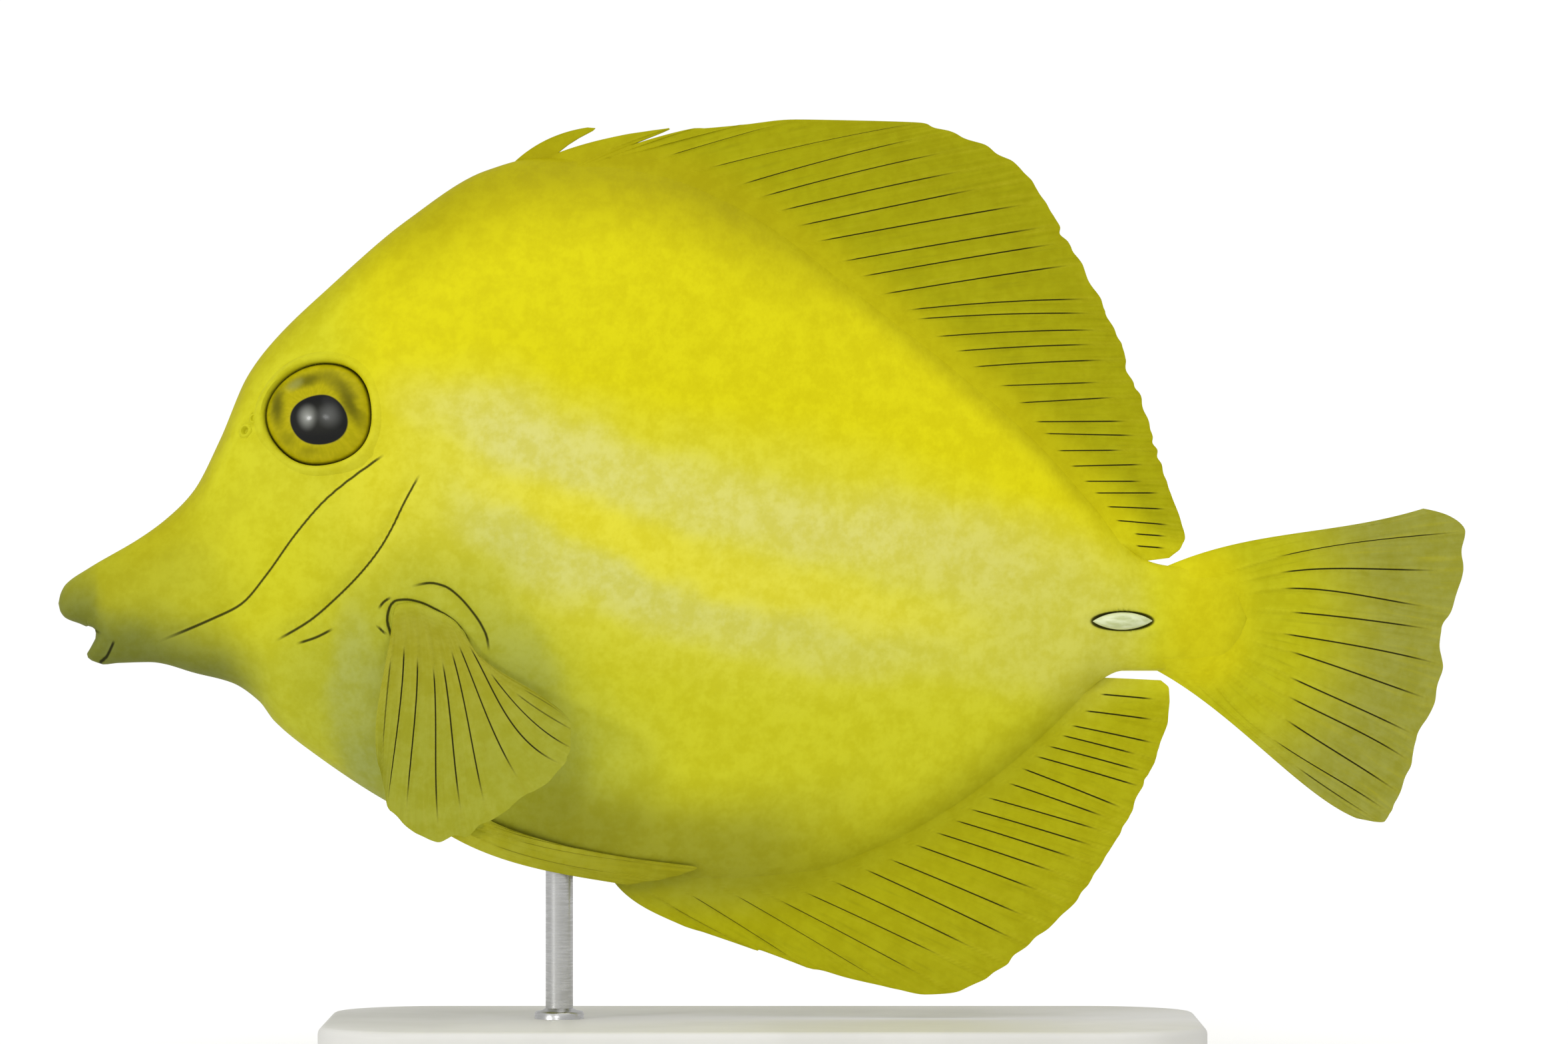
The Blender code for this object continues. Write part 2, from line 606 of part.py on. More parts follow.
def main():
    start_clean()
    pieces = [(head(), YELLOW, 0.5, 0), (trunk(), YELLOW, 0.5, 0), (tail_stalk(), YELLOW, 0.5, 0),
              (dorsal_fin(), FIN_YELLOW, 0.55, 0), (anal_fin(), FIN_YELLOW, 0.55, 0),
              (tail_fin(), PALE_YELLOW, 0.55, 0), (stand_base(), STAND_PAINT, 0.5, 0),
              (stand_rod(), STEEL, 0.3, 1)]
    for side in ("left", "right"):
        pieces += [(gill_cover(side), YELLOW, 0.5, 0), (eyeball(f"eye_{side}", side), IRIS, 0.15, 0),
                   (scalpel(f"scalpel_{side}", side), BONE, 0.35, 0),
                   (pectoral_fin(side), FIN_YELLOW, 0.55, 0),
                   (pelvic_fin(side), FIN_YELLOW, 0.55, 0)]
    fish = bpy.data.collections.new("yellow_tang")
    bpy.context.scene.collection.children.link(fish)
    for thing, colour, roughness, metallic in pieces:
        dress(thing, colour, roughness, metallic)
        bpy.context.scene.collection.objects.unlink(thing)
        fish.objects.link(thing)


main()
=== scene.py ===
"""Looks of the yellow tang display model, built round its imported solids.

Sizes are millimetres on the fish's own axes until `place` turns them into metres: s runs
back from the tip of the snout, y runs across with the left flank at minus, and h runs up
from the body axis.
"""
import logging
import math
from dataclasses import dataclass, field
from enum import Enum
from typing import Callable, Optional, Sequence

import bmesh
import bpy
import numpy as np
from mathutils import Matrix, Vector


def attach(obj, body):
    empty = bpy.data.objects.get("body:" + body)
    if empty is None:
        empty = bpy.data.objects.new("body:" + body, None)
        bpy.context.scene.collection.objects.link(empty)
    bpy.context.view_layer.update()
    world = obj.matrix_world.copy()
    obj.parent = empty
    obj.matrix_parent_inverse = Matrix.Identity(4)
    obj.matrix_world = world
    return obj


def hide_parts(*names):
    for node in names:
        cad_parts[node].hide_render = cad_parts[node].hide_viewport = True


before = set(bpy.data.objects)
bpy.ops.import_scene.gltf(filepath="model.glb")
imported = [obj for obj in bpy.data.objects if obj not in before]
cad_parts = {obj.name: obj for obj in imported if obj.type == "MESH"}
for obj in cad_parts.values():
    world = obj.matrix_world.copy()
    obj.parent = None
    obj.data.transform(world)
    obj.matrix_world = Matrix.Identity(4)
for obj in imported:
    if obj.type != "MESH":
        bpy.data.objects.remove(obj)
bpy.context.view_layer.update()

LOG = logging.getLogger("yellow_tang")
MM = 0.001
TOTAL_LENGTH = 180.0
FLESH_LENGTH = 152.0
AXIS_HEIGHT = 56.6
VIEW_CENTRE = (92.7, 12.8)
VIEW_DISTANCE = 1112.8
SEED = 11
BOW_PEAK = 27 / 4  # makes t * t * (1 - t) reach 1 where it is greatest
RIPPLE_PACES = (2.3, 3.7, 5.9)

Colour = tuple[float, float, float, float]
Points = Sequence[tuple[float, ...]]


class Side(Enum):
    """The two flanks of the fish."""

    LEFT = "left"
    RIGHT = "right"


class Slot(Enum):
    """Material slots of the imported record."""

    SKIN = "skin"
    FIN = "fin"
    EYE = "eye"
    SCALPEL = "scalpel"
    PAINT = "stand_paint"
    STEEL = "stand_steel"


def linear(red: float, green: float, blue: float) -> Colour:
    """Turn an sRGB colour into the linear one that a shader takes.

    Args:
        red: Red, 0 to 255.
        green: Green, 0 to 255.
        blue: Blue, 0 to 255.

    Returns:
        Linear red, green and blue, with an alpha of 1.
    """
    parts = [value / 255 for value in (red, green, blue)]
    return (*[v / 12.92 if v <= 0.04045 else ((v + 0.055) / 1.055) ** 2.4 for v in parts], 1.0)


def ease(value: np.ndarray) -> np.ndarray:
    """Smooth step from 0 to 1, flat outside that range."""
    share = np.clip(value, 0, 1)
    return share * share * (3 - 2 * share)


def bump(distance: np.ndarray, width: float) -> np.ndarray:
    """Bell curve of height 1 that falls off over a width."""
    return np.exp(-(distance / width) ** 2)


class SmoothCurve:
    """Cubic through given points that doesn't overshoot between them."""

    def __init__(self, points: Points) -> None:
        """Work out the slopes at the points.

        Args:
            points: Pairs of key and value, in rising order of key.
        """
        self.x, self.y = np.array(points, dtype=float).T
        self.step = np.diff(self.x)
        rise = np.diff(self.y) / self.step
        self.slope = np.zeros_like(self.y)
        self.slope[0], self.slope[-1] = rise[0], rise[-1]
        before, after = rise[:-1], rise[1:]
        same = before * after > 0
        total = np.where(same, before + after, 1)
        self.slope[1:-1] = np.where(same, 2 * before * after / total, 0)

    def __call__(self, at: np.ndarray) -> np.ndarray:
        """Values of the curve at some keys."""
        k = np.clip(np.searchsorted(self.x, at) - 1, 0, len(self.step) - 1)
        t = (at - self.x[k]) / self.step[k]
        start = self.y[k] * (1 + 2 * t) + self.slope[k] * self.step[k] * t
        end = self.y[k + 1] * (3 - 2 * t) + self.slope[k + 1] * self.step[k] * (t - 1)
        return start * (1 - t) ** 2 + end * t ** 2


def place(s: np.ndarray, y: np.ndarray, h: np.ndarray) -> np.ndarray:
    """Turn places on the fish into points of the row frame.

    Args:
        s: Distances behind the tip of the snout, in millimetres.
        y: Distances across, the left flank at minus.
        h: Heights above the body axis.

    Returns:
        One row of three metres for each place.
    """
    s, y, h = np.broadcast_arrays(s, y, h)
    return np.stack([s - TOTAL_LENGTH / 2, y, h + AXIS_HEIGHT], axis=-1) * MM


def unplace(points: np.ndarray) -> tuple[np.ndarray, np.ndarray, np.ndarray]:
    """Turn points of the row frame back into s, y and h in millimetres."""
    x, y, z = (points / MM).T
    return x + TOTAL_LENGTH / 2, y, z - AXIS_HEIGHT


class PathLine:
    """An open line in side view that vertices can be measured from."""

    def __init__(self, points: Points, steps: int = 6) -> None:
        """Round the line off with a smooth curve.

        Args:
            points: Pairs of s and h along the line.
            steps: Straight pieces between two given points.
        """
        given = np.array(points, dtype=float)
        walk = np.concatenate([[0], np.cumsum(np.linalg.norm(np.diff(given, axis=0), axis=1))])
        count = (len(given) - 1) * steps + 1
        finer = np.interp(np.arange(count) / steps, range(len(given)), walk)
        self.length = walk[-1]
        columns = [SmoothCurve(list(zip(walk, given[:, i])))(finer) for i in (0, 1)]
        self.points = np.stack(columns, axis=1)
        self.walk = finer

    def measure(self, s: np.ndarray, h: np.ndarray) -> tuple[np.ndarray, np.ndarray]:
        """Measure places from the line.

        Args:
            s: Places along the fish.
            h: Heights.

        Returns:
            The signed distance, plus on the left of the walking direction, and how far
            along the line the nearest point is, as a share of its length.
        """
        best = np.full(len(s), np.inf)
        signed, along = np.zeros(len(s)), np.zeros(len(s))
        for i in range(len(self.points) - 1):
            (s0, h0), (s1, h1) = self.points[i], self.points[i + 1]
            ds, dh = s1 - s0, h1 - h0
            span = ds * ds + dh * dh
            t = np.clip(((s - s0) * ds + (h - h0) * dh) / span, 0, 1)
            off_s, off_h = s - s0 - t * ds, h - h0 - t * dh
            distance = np.hypot(off_s, off_h)
            nearer = distance < best
            best[nearer] = distance[nearer]
            side = np.sign(ds * off_h - dh * off_s)
            signed[nearer] = (distance * side)[nearer]
            reached = self.walk[i] + t * (self.walk[i + 1] - self.walk[i])
            along[nearer] = (reached / self.length)[nearer]
        return signed, along


@dataclass(frozen=True)
class BodyShape:
    """Side view and widths of the flesh, as the solids have them."""

    # The rows of the back from s 3.7 to 54.7 are readings of the picture's edge, which a
    # scratch program printed at even steps.
    back: Points = (
        (0, 2.4), (0.3, 3.7), (1, 4.9), (3.7, 6.8), (10.5, 10.8), (13.9, 13.3), (17.3, 16.8),
        (20.7, 23.4), (24.1, 31.3), (27.5, 35.9), (34.3, 42.5), (44.5, 51.3), (54.7, 57.7),
        (61.5, 59.3), (69, 59.3), (76.5, 58.2), (86, 54.4), (104, 41.4), (124, 24.8),
        (132, 16), (138.8, 8), (142, 7.2), (147, 6.9), (150.5, 4.6), (152, 0.5))
    belly: Points = (
        (0, 2.4), (0.3, 1.3), (1, 0.5), (3, -0.3), (4.6, -1.2), (5.6, -3.8), (6.8, -5.2),
        (11.6, -5.1), (17.7, -6.5), (22.2, -7.7), (25.7, -10.1), (27.6, -12.6),
        (32.6, -16.7), (42.2, -23), (50, -26.8), (60, -29.6), (72, -32.6), (84, -33.8),
        (95, -33), (104, -30), (113, -25.2), (122, -18.6), (130, -11), (133, -7.5),
        (136, -6.2), (143, -6.2), (148, -5.4), (151, -2.6), (152, 0.5))
    half_width: Points = (
        (0, 0), (0.3, 1.1), (1, 1.8), (2.5, 2.4), (5, 2.8), (8, 3.2), (12, 3.9), (17, 5.1),
        (22, 6.6), (28, 8.2), (36, 9.8), (45, 11.2), (56, 12.1), (68, 12), (85, 10.6),
        (100, 8.7), (115, 6.6), (127, 4.9), (136, 3.7), (143, 2.6), (147, 1.7), (150, 0.95),
        (151.3, 0.5), (152, 0))
    waist: float = 0.42
    back_power: float = 1.12
    belly_power: float = 0.95
    outline_steps: int = 90

    def curves(self) -> tuple[SmoothCurve, SmoothCurve, SmoothCurve]:
        """Smooth curves of the back, the belly and the half width."""
        return SmoothCurve(self.back), SmoothCurve(self.belly), SmoothCurve(self.half_width)

    def section(self, s: np.ndarray, angle: np.ndarray) -> tuple[np.ndarray, np.ndarray]:
        """Points of the body sections.

        Args:
            s: Places along the fish.
            angle: Angles up from the widest level, past a quarter turn on the far side.

        Returns:
            Distance across, plus on the near side, and height.
        """
        back, belly, half_width = self.curves()
        top, bottom = back(s), belly(s)
        middle = bottom + self.waist * (top - bottom)
        up = np.sin(angle) >= 0
        reach = np.where(up, top - middle, middle - bottom)
        power = np.where(up, self.back_power, self.belly_power)
        across = np.abs(np.cos(angle)) ** power * np.sign(np.cos(angle))
        return half_width(s) * across, middle + reach * np.sin(angle)

    def flank(self, s: np.ndarray, h: np.ndarray) -> np.ndarray:
        """Half width of the body at places of its side view."""
        back, belly, half_width = self.curves()
        s = np.clip(s, 0, FLESH_LENGTH)
        top, bottom = back(s), belly(s)
        middle = bottom + self.waist * (top - bottom)
        up = h >= middle
        reach = np.maximum(np.where(up, top - middle, middle - bottom), 1e-6)
        sine = np.minimum(np.abs(h - middle) / reach, 1)
        power = np.where(up, self.back_power, self.belly_power) / 2
        return np.maximum(half_width(s), 0) * (1 - sine * sine) ** power

    def edge(self, s: np.ndarray, h: np.ndarray) -> tuple[np.ndarray, np.ndarray]:
        """How places lie to the outline of the flesh.

        Args:
            s: Places along the fish.
            h: Heights.

        Returns:
            Distance outside the outline, minus inside it, and the half width of the flesh
            one millimetre inside the nearest point of the outline.
        """
        back, belly, half_width = self.curves()
        stops = FLESH_LENGTH * (1 - np.cos(np.linspace(0, math.pi, self.outline_steps))) / 2
        top, bottom = back(stops), belly(stops)
        tall = np.maximum(top - bottom, 2)
        upper = half_width(stops) * (2 / ((1 - self.waist) * tall)) ** (self.back_power / 2)
        lower = half_width(stops) * (2 / (self.waist * tall)) ** (self.belly_power / 2)
        line = PathLine([*zip(stops, top), *list(zip(stops, bottom))[-2::-1]], steps=1)
        distance, along = line.measure(s, h)
        width = np.interp(along * line.length, line.walk, [*upper, *lower[-2::-1]])
        inside = (s > 0) & (s < FLESH_LENGTH) & (h < back(s)) & (h > belly(s))
        return np.where(inside, -np.abs(distance), np.abs(distance)), width

    def depths(self, s: np.ndarray, h: np.ndarray) -> tuple[np.ndarray, np.ndarray]:
        """How far places lie below the back and above the belly, for the shades there."""
        back, belly, _ = self.curves()
        at = np.clip(s, 0, FLESH_LENGTH)
        return np.maximum(back(at) - h, 0), np.maximum(h - belly(at), 0)

    def seat(self, s: float, h: float, reach: float) -> Matrix:
        """Frame on the left flank whose Z points out of the skin.

        Args:
            s: Place along the fish.
            h: Height.
            reach: Distance to the four places that the slope is taken from.

        Returns:
            The frame in metres, its origin on the mean of those places.
        """
        around = self.flank(np.array([s + reach, s - reach, s, s]),
                            np.array([h, h, h + reach, h - reach]))
        along = (around[0] - around[1]) / (2 * reach)
        up = (around[2] - around[3]) / (2 * reach)
        out = Vector((-along, -1, -up)).normalized()
        side = (Vector((1, 0, 0)) - out * out.x).normalized()
        turn = Matrix((side, out.cross(side), out)).transposed().to_4x4()
        return Matrix.Translation(place(s, -around.mean(), h).tolist()) @ turn


BODY = BodyShape()
# A row says how often a ripple goes round the eye's opening, and its cosine and sine shares.
# A scratch program fitted them to the picture's dark ring, and they were then changed by hand.
EYE_WAVES = ((0, 0.025, 0), (2, 0.033, -0.0116), (3, -0.0225, -0.003),
             (4, -0.006, -0.0089), (5, -0.0095, 0))


def eye_swell(x: np.ndarray, y: np.ndarray) -> np.ndarray:
    """How far the eye's opening reaches in a direction, as a share of its mean radius.

    Args:
        x: Distances behind the middle of the eye.
        y: Distances above it.

    Returns:
        The shares.
    """
    turn = np.arctan2(y, x)
    return 1 + sum(a * np.cos(n * turn) + b * np.sin(n * turn) for n, a, b in EYE_WAVES)


def mesh_points(mesh: bpy.types.Mesh) -> np.ndarray:
    """Vertex places of a mesh, one row each."""
    flat = np.zeros(len(mesh.vertices) * 3, np.float32)
    mesh.vertices.foreach_get("co", flat)
    return flat.reshape(-1, 3).astype(float)


def move_points(mesh: bpy.types.Mesh, points: np.ndarray) -> None:
    """Put the vertices of a mesh at new places."""
    mesh.vertices.foreach_set("co", points.astype(np.float32).ravel())
    mesh.update()


def vertex_normals(mesh: bpy.types.Mesh) -> np.ndarray:
    """Unit normals at the vertices of a mesh."""
    flat = np.zeros(len(mesh.vertices) * 3, np.float32)
    mesh.vertex_normals.foreach_get("vector", flat)
    return flat.reshape(-1, 3).astype(float)


def store(mesh: bpy.types.Mesh, name: str, values: np.ndarray) -> None:
    """Keep one number, or one row of three, for each vertex.

    Args:
        mesh: Mesh that gets the attribute.
        name: Name that materials read it by.
        values: The numbers.
    """
    kind, key = ("FLOAT", "value") if values.ndim == 1 else ("FLOAT_VECTOR", "vector")
    attribute = mesh.attributes.new(name, kind, "POINT")
    attribute.data.foreach_set(key, values.astype(np.float32).ravel())


def to_mesh(bm: bmesh.types.BMesh, name: str) -> bpy.types.Mesh:
    """Write a bmesh to a new mesh and free it."""
    mesh = bpy.data.meshes.new(name)
    bm.to_mesh(mesh)
    bm.free()
    return mesh


def face_out(mesh: bpy.types.Mesh) -> None:
    """Turn every face of a closed mesh outwards."""
    bm = bmesh.new()
    bm.from_mesh(mesh)
    bmesh.ops.recalc_face_normals(bm, faces=bm.faces[:])
    bm.to_mesh(mesh)
    bm.free()


def mirror_points(mesh: bpy.types.Mesh, side: Side) -> None:
    """Carry a mesh made for the left flank over to its own side."""
    if side is Side.RIGHT:
        move_points(mesh, mesh_points(mesh) * (1, -1, 1))
    face_out(mesh)


def show(mesh: bpy.types.Mesh, material: bpy.types.Material,
         stands_for: Sequence[str] = (), sharp: float = 40.0) -> bpy.types.Object:
    """Put a finished mesh in the scene as a piece that rides on the root body.

    Args:
        mesh: The mesh, with its place in its vertices.
        material: Finish of the whole piece.
        stands_for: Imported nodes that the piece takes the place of.
        sharp: Angle in degrees above which an edge stays sharp.

    Returns:
        The new object.
    """
    mesh.materials.append(material)
    mesh.shade_smooth()
    mesh.set_sharp_from_angle(angle=math.radians(sharp))
    piece = bpy.data.objects.new(mesh.name, mesh)
    bpy.context.scene.collection.objects.link(piece)
    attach(piece, "root")
    if stands_for:
        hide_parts(*stands_for)
    return piece


class Graph:
    """Short calls for wiring one node tree."""

    def __init__(self, tree: bpy.types.NodeTree) -> None:
        """Keep the tree that the calls add to."""
        self.tree = tree

    def add(self, kind: str, **settings: object) -> bpy.types.Node:
        """Add a node and set its properties.

        Args:
            kind: Blender's name of the node type.
            settings: Properties of the node.

        Returns:
            The node.
        """
        node = self.tree.nodes.new(kind)
        for name, value in settings.items():
            setattr(node, name, value)
        return node

    def feed(self, socket: bpy.types.NodeSocket, value: object) -> None:
        """Link a socket to another, or give it a plain value."""
        if isinstance(value, bpy.types.NodeSocket):
            self.tree.links.new(value, socket)
        elif value is not None:
            socket.default_value = value

    def maths(self, operation: str, *values: object, clamp: bool = False
              ) -> bpy.types.NodeSocket:
        """Result of one Math node."""
        node = self.add("ShaderNodeMath", operation=operation, use_clamp=clamp)
        for socket, value in zip(node.inputs, values):
            self.feed(socket, value)
        return node.outputs[0]

    def vector(self, operation: str, *values: object) -> bpy.types.Node:
        """One Vector Math node with its inputs fed."""
        node = self.add("ShaderNodeVectorMath", operation=operation)
        for socket, value in zip(node.inputs, values):
            self.feed(socket, value)
        return node

    def span(self, value: object, low: float, high: float, start: float = 0.0,
             end: float = 1.0) -> bpy.types.NodeSocket:
        """Smoothly carry a range of one number over to another range.

        Args:
            value: The number, or the socket that gives it.
            low: Where the result leaves start.
            high: Where the result reaches end.
            start: Result at low.
            end: Result at high.

        Returns:
            The socket with the result.
        """
        node = self.add("ShaderNodeMapRange", interpolation_type="SMOOTHSTEP")
        for socket, number in zip(node.inputs, (value, low, high, start, end)):
            self.feed(socket, number)
        return node.outputs[0]

    def blend(self, share: object, first: object, second: object,
              kind: str = "MIX") -> bpy.types.NodeSocket:
        """Mix two colours.

        Args:
            share: How much of the second colour.
            first: First colour.
            second: Second colour.
            kind: Blender's name of the way they mix.

        Returns:
            The socket with the colour.
        """
        node = self.add("ShaderNodeMix", data_type="RGBA", blend_type=kind)
        self.feed(node.inputs[0], share)
        self.feed(node.inputs[6], first)
        self.feed(node.inputs[7], second)
        return node.outputs[2]

    def noise(self, position: object, scale: float, detail: float = 2.0,
              rough: float = 0.5) -> bpy.types.NodeSocket:
        """Grey value of a noise texture."""
        node = self.add("ShaderNodeTexNoise")
        self.feed(node.inputs["Vector"], position)
        self.feed(node.inputs["Scale"], scale)
        self.feed(node.inputs["Detail"], detail)
        self.feed(node.inputs["Roughness"], rough)
        return node.outputs[0]

    def read(self, name: str, output: str = "Fac") -> bpy.types.NodeSocket:
        """Value of an attribute of the mesh."""
        return self.add("ShaderNodeAttribute", attribute_name=name).outputs[output]

    def split(self, value: bpy.types.NodeSocket) -> list[bpy.types.NodeSocket]:
        """The three numbers of a vector."""
        node = self.add("ShaderNodeSeparateXYZ")
        self.feed(node.inputs[0], value)
        return list(node.outputs)

    def join(self, *values: object) -> bpy.types.NodeSocket:
        """A vector from three numbers."""
        node = self.add("ShaderNodeCombineXYZ")
        for socket, value in zip(node.inputs, values):
            self.feed(socket, value)
        return node.outputs[0]

    def position(self) -> bpy.types.NodeSocket:
        """Object coordinates of the surface, in metres."""
        return self.add("ShaderNodeTexCoord").outputs["Object"]

    def use(self, group: bpy.types.NodeTree, **values: object) -> bpy.types.Node:
        """Place a node group and feed its inputs by name.

        Args:
            group: The node group.
            values: Inputs, with an underscore for each space of the name.

        Returns:
            The group's node.
        """
        node = self.add("ShaderNodeGroup", node_tree=group)
        for name, value in values.items():
            self.feed(node.inputs[name.replace("_", " ")], value)
        return node

    def relief(self, height: object, distance: float, strength: float = 1.0,
               under: object = None) -> bpy.types.NodeSocket:
        """Normal bent by a height.

        Args:
            height: Height of the surface, 0 to 1.
            distance: Metres that a height of 1 stands for.
            strength: How much of the effect is used.
            under: Normal that is bent, if not the surface's own.

        Returns:
            The socket with the normal.
        """
        node = self.add("ShaderNodeBump")
        self.feed(node.inputs["Height"], height)
        self.feed(node.inputs["Distance"], distance)
        self.feed(node.inputs["Strength"], strength)
        self.feed(node.inputs["Normal"], under)
        return node.outputs[0]


def new_group(name: str, inputs: dict[str, str], outputs: dict[str, str]
              ) -> tuple[bpy.types.NodeTree, Graph, bpy.types.Node, bpy.types.Node]:
    """Start a shader node group.

    Args:
        name: Name of the group.
        inputs: Socket type of each input, by name.
        outputs: Socket type of each output, by name.

    Returns:
        The group, a graph of it, its input node and its output node.
    """
    group = bpy.data.node_groups.new(name, "ShaderNodeTree")
    for way, sockets in (("INPUT", inputs), ("OUTPUT", outputs)):
        for label, kind in sockets.items():
            group.interface.new_socket(label, in_out=way, socket_type="NodeSocket" + kind)
    graph = Graph(group)
    return group, graph, graph.add("NodeGroupInput"), graph.add("NodeGroupOutput")


def new_material(name: str, **plain: object
                 ) -> tuple[bpy.types.Material, Graph, bpy.types.Node]:
    """Start a material with one Principled shader.

    Args:
        name: Name of the material.
        plain: Values of the shader's sockets, with an underscore for each space.

    Returns:
        The material, a graph of it and the shader.
    """
    material = bpy.data.materials.new(name)
    material.use_nodes = True
    graph = Graph(material.node_tree)
    shader = material.node_tree.nodes["Principled BSDF"]
    for label, value in plain.items():
        shader.inputs[label.replace("_", " ")].default_value = value
    return material, graph, shader


@dataclass(frozen=True)
class Patch:
    """A soft oval of another colour, its centre and half sizes in s and h."""

    centre: tuple[float, float]
    size: tuple[float, float]
    tilt: float
    colour: Colour
    strength: float
    soft: float = 0.5


class Edge(Enum):
    """Outlines that a shade can follow, by the input that tells the distance."""

    BACK = "Below Back"
    BELLY = "Above Belly"


@dataclass(frozen=True)
class EdgeShade:
    """Painted shade that fades away from the back or the belly over a stretch of the fish."""

    edge: Edge
    depth: tuple[float, float]
    stretch: tuple[float, float, float, float]
    colour: Colour
    strength: float


@dataclass(frozen=True)
class SkinTone:
    """Yellow skin with pale streaks, fine mottling and olive painted shade."""

    upper: Colour = linear(224, 215, 12)
    lower: Colour = linear(208, 206, 36)
    head: Colour = linear(210, 207, 34)
    speck_pale: Colour = (1.05, 1.055, 1.28, 1.0)
    speck_deep: Colour = (0.955, 0.94, 0.7, 1.0)
    patches: tuple[Patch, ...] = (
        Patch((84, 9), (44, 13.5), -11, linear(221, 217, 68), 0.85, 0.5),
        Patch((60, 20.5), (14, 7), -25, linear(221, 217, 84), 0.6, 0.9),
        Patch((62, 22.3), (13, 3.6), -21, linear(221, 217, 120), 0.8, 0.9),
        Patch((83, 15.4), (16, 3.6), -15, linear(224, 220, 112), 0.72, 0.9),
        Patch((104, 11), (18, 4), -8, linear(221, 216, 112), 0.7, 0.9),
        Patch((122, 5.5), (11, 6), -18, linear(214, 210, 100), 0.7, 0.9),
        Patch((57.5, 11.5), (6.5, 3.2), -42, linear(214, 213, 112), 0.7, 0.9),
        Patch((70, 5), (13, 3.1), -21, linear(216, 214, 116), 0.8, 0.9),
        Patch((90, -0.6), (16, 3.1), -13, linear(214, 212, 108), 0.7, 0.9),
        Patch((112, -3.2), (16, 3.4), -5, linear(211, 209, 90), 0.5, 0.9),
        Patch((72, 11.4), (18, 2.9), -23, linear(232, 223, 50), 0.85, 0.8),
        Patch((95, 4.2), (18, 2.9), -15, linear(229, 221, 62), 0.75, 0.8),
        Patch((129, -2.5), (9, 8), 0, linear(211, 208, 82), 0.8),
        # Olive painted shade on the throat, round and behind the pectoral fin, and low on the belly.
        Patch((31, -10), (9, 9), 0, linear(190, 192, 50), 0.85),
        Patch((50, -10), (14, 19), 17, linear(169, 173, 58), 0.85, 0.6),
        Patch((62, -19), (13, 11), -20, linear(204, 209, 72), 0.7, 0.6),
        Patch((38.5, -11), (3.2, 12), 0, linear(176, 181, 84), 0.75),
        Patch((61.5, -11), (3.6, 12), 20, linear(174, 179, 76), 0.6, 0.7),
        Patch((41, -20), (6, 5), -30, linear(150, 158, 80), 0.6, 0.7),
        Patch((72, -29), (22, 5), -4, linear(152, 152, 42), 0.6, 0.7),
        # Olive painted shade at the tip, the top and the underside of the snout.
        Patch((0, 1.5), (14, 9), 0, linear(148, 152, 42), 0.8, 0.85),
        Patch((9, 7), (11, 6), 35, linear(176, 172, 24), 0.7, 0.7),
        Patch((15, 2), (9, 5), 20, linear(186, 185, 40), 0.6, 0.7),
        Patch((5, -3.5), (6, 4), 0, linear(126, 132, 52), 0.8),
        # The tail stalk's own yellow, going over into the tail fin's colour.
        Patch((148.5, 0), (6.5, 12), 0, linear(213, 204, 14), 0.9),
        Patch((162, 0), (12, 18), 0, linear(190, 188, 22), 0.8, 0.4))
    # Painted shade: the skin turns olive towards the back, the belly and under the jaw.
    shades: tuple[EdgeShade, ...] = (
        EdgeShade(Edge.BACK, (0, 13.5), (36, 50, 84, 104), linear(178, 168, 6), 0.95),
        EdgeShade(Edge.BACK, (0, 5.5), (6, 16, 128, 140), linear(176, 168, 10), 0.7),
        EdgeShade(Edge.BELLY, (6, 16), (52, 66, 88, 108), linear(158, 157, 42), 0.75),
        EdgeShade(Edge.BELLY, (0, 9), (84, 98, 124, 138), linear(166, 163, 14), 0.7),
        EdgeShade(Edge.BELLY, (0, 10), (-9, 4, 20, 31), linear(120, 126, 52), 0.98))
    mottle_scale: float = 380.0
    drift: float = 0.005

    def patch_group(self) -> bpy.types.NodeTree:
        """Group that gives the mask of one soft oval.

        Returns:
            The node group.
        """
        group, graph, start, end = new_group(
            "soft_patch",
            {"Position": "Vector", "Centre": "Vector", "Size": "Vector", "Tilt": "Float",
             "Soft": "Float"}, {"Mask": "Float"})
        offset = graph.vector("SUBTRACT", start.outputs["Position"], start.outputs["Centre"])
        flat = graph.vector("MULTIPLY", offset.outputs[0], (1, 0, 1))
        turn = graph.add("ShaderNodeVectorRotate", rotation_type="Y_AXIS")
        graph.feed(turn.inputs["Vector"], flat.outputs[0])
        graph.feed(turn.inputs["Angle"], start.outputs["Tilt"])
        scaled = graph.vector("DIVIDE", turn.outputs[0], start.outputs["Size"])
        radius = graph.vector("LENGTH", scaled.outputs[0]).outputs["Value"]
        inner = graph.maths("SUBTRACT", 1.0, start.outputs["Soft"])
        outer = graph.maths("ADD", 1.0, start.outputs["Soft"])
        mask = graph.add("ShaderNodeMapRange", interpolation_type="SMOOTHSTEP")
        for socket, value in zip(mask.inputs, (radius, inner, outer, 1.0, 0.0)):
            graph.feed(socket, value)
        graph.feed(end.inputs["Mask"], mask.outputs[0])
        return group

    def spot(self, graph: "Graph", patch_group: bpy.types.NodeTree, position: object,
             patch: Patch) -> bpy.types.NodeSocket:
        """Share of one patch's colour at a place.

        Args:
            graph: Graph that it is added to.
            patch_group: Group that gives the mask of a soft oval.
            position: Object coordinates.
            patch: The patch.

        Returns:
            The socket with the share.
        """
        mask = graph.use(patch_group, Position=position,
                         Centre=place(patch.centre[0], 0, patch.centre[1]).tolist(),
                         Size=(patch.size[0] * MM, 1.0, patch.size[1] * MM),
                         Tilt=math.radians(patch.tilt), Soft=patch.soft)
        return graph.maths("MULTIPLY", mask.outputs[0], patch.strength)

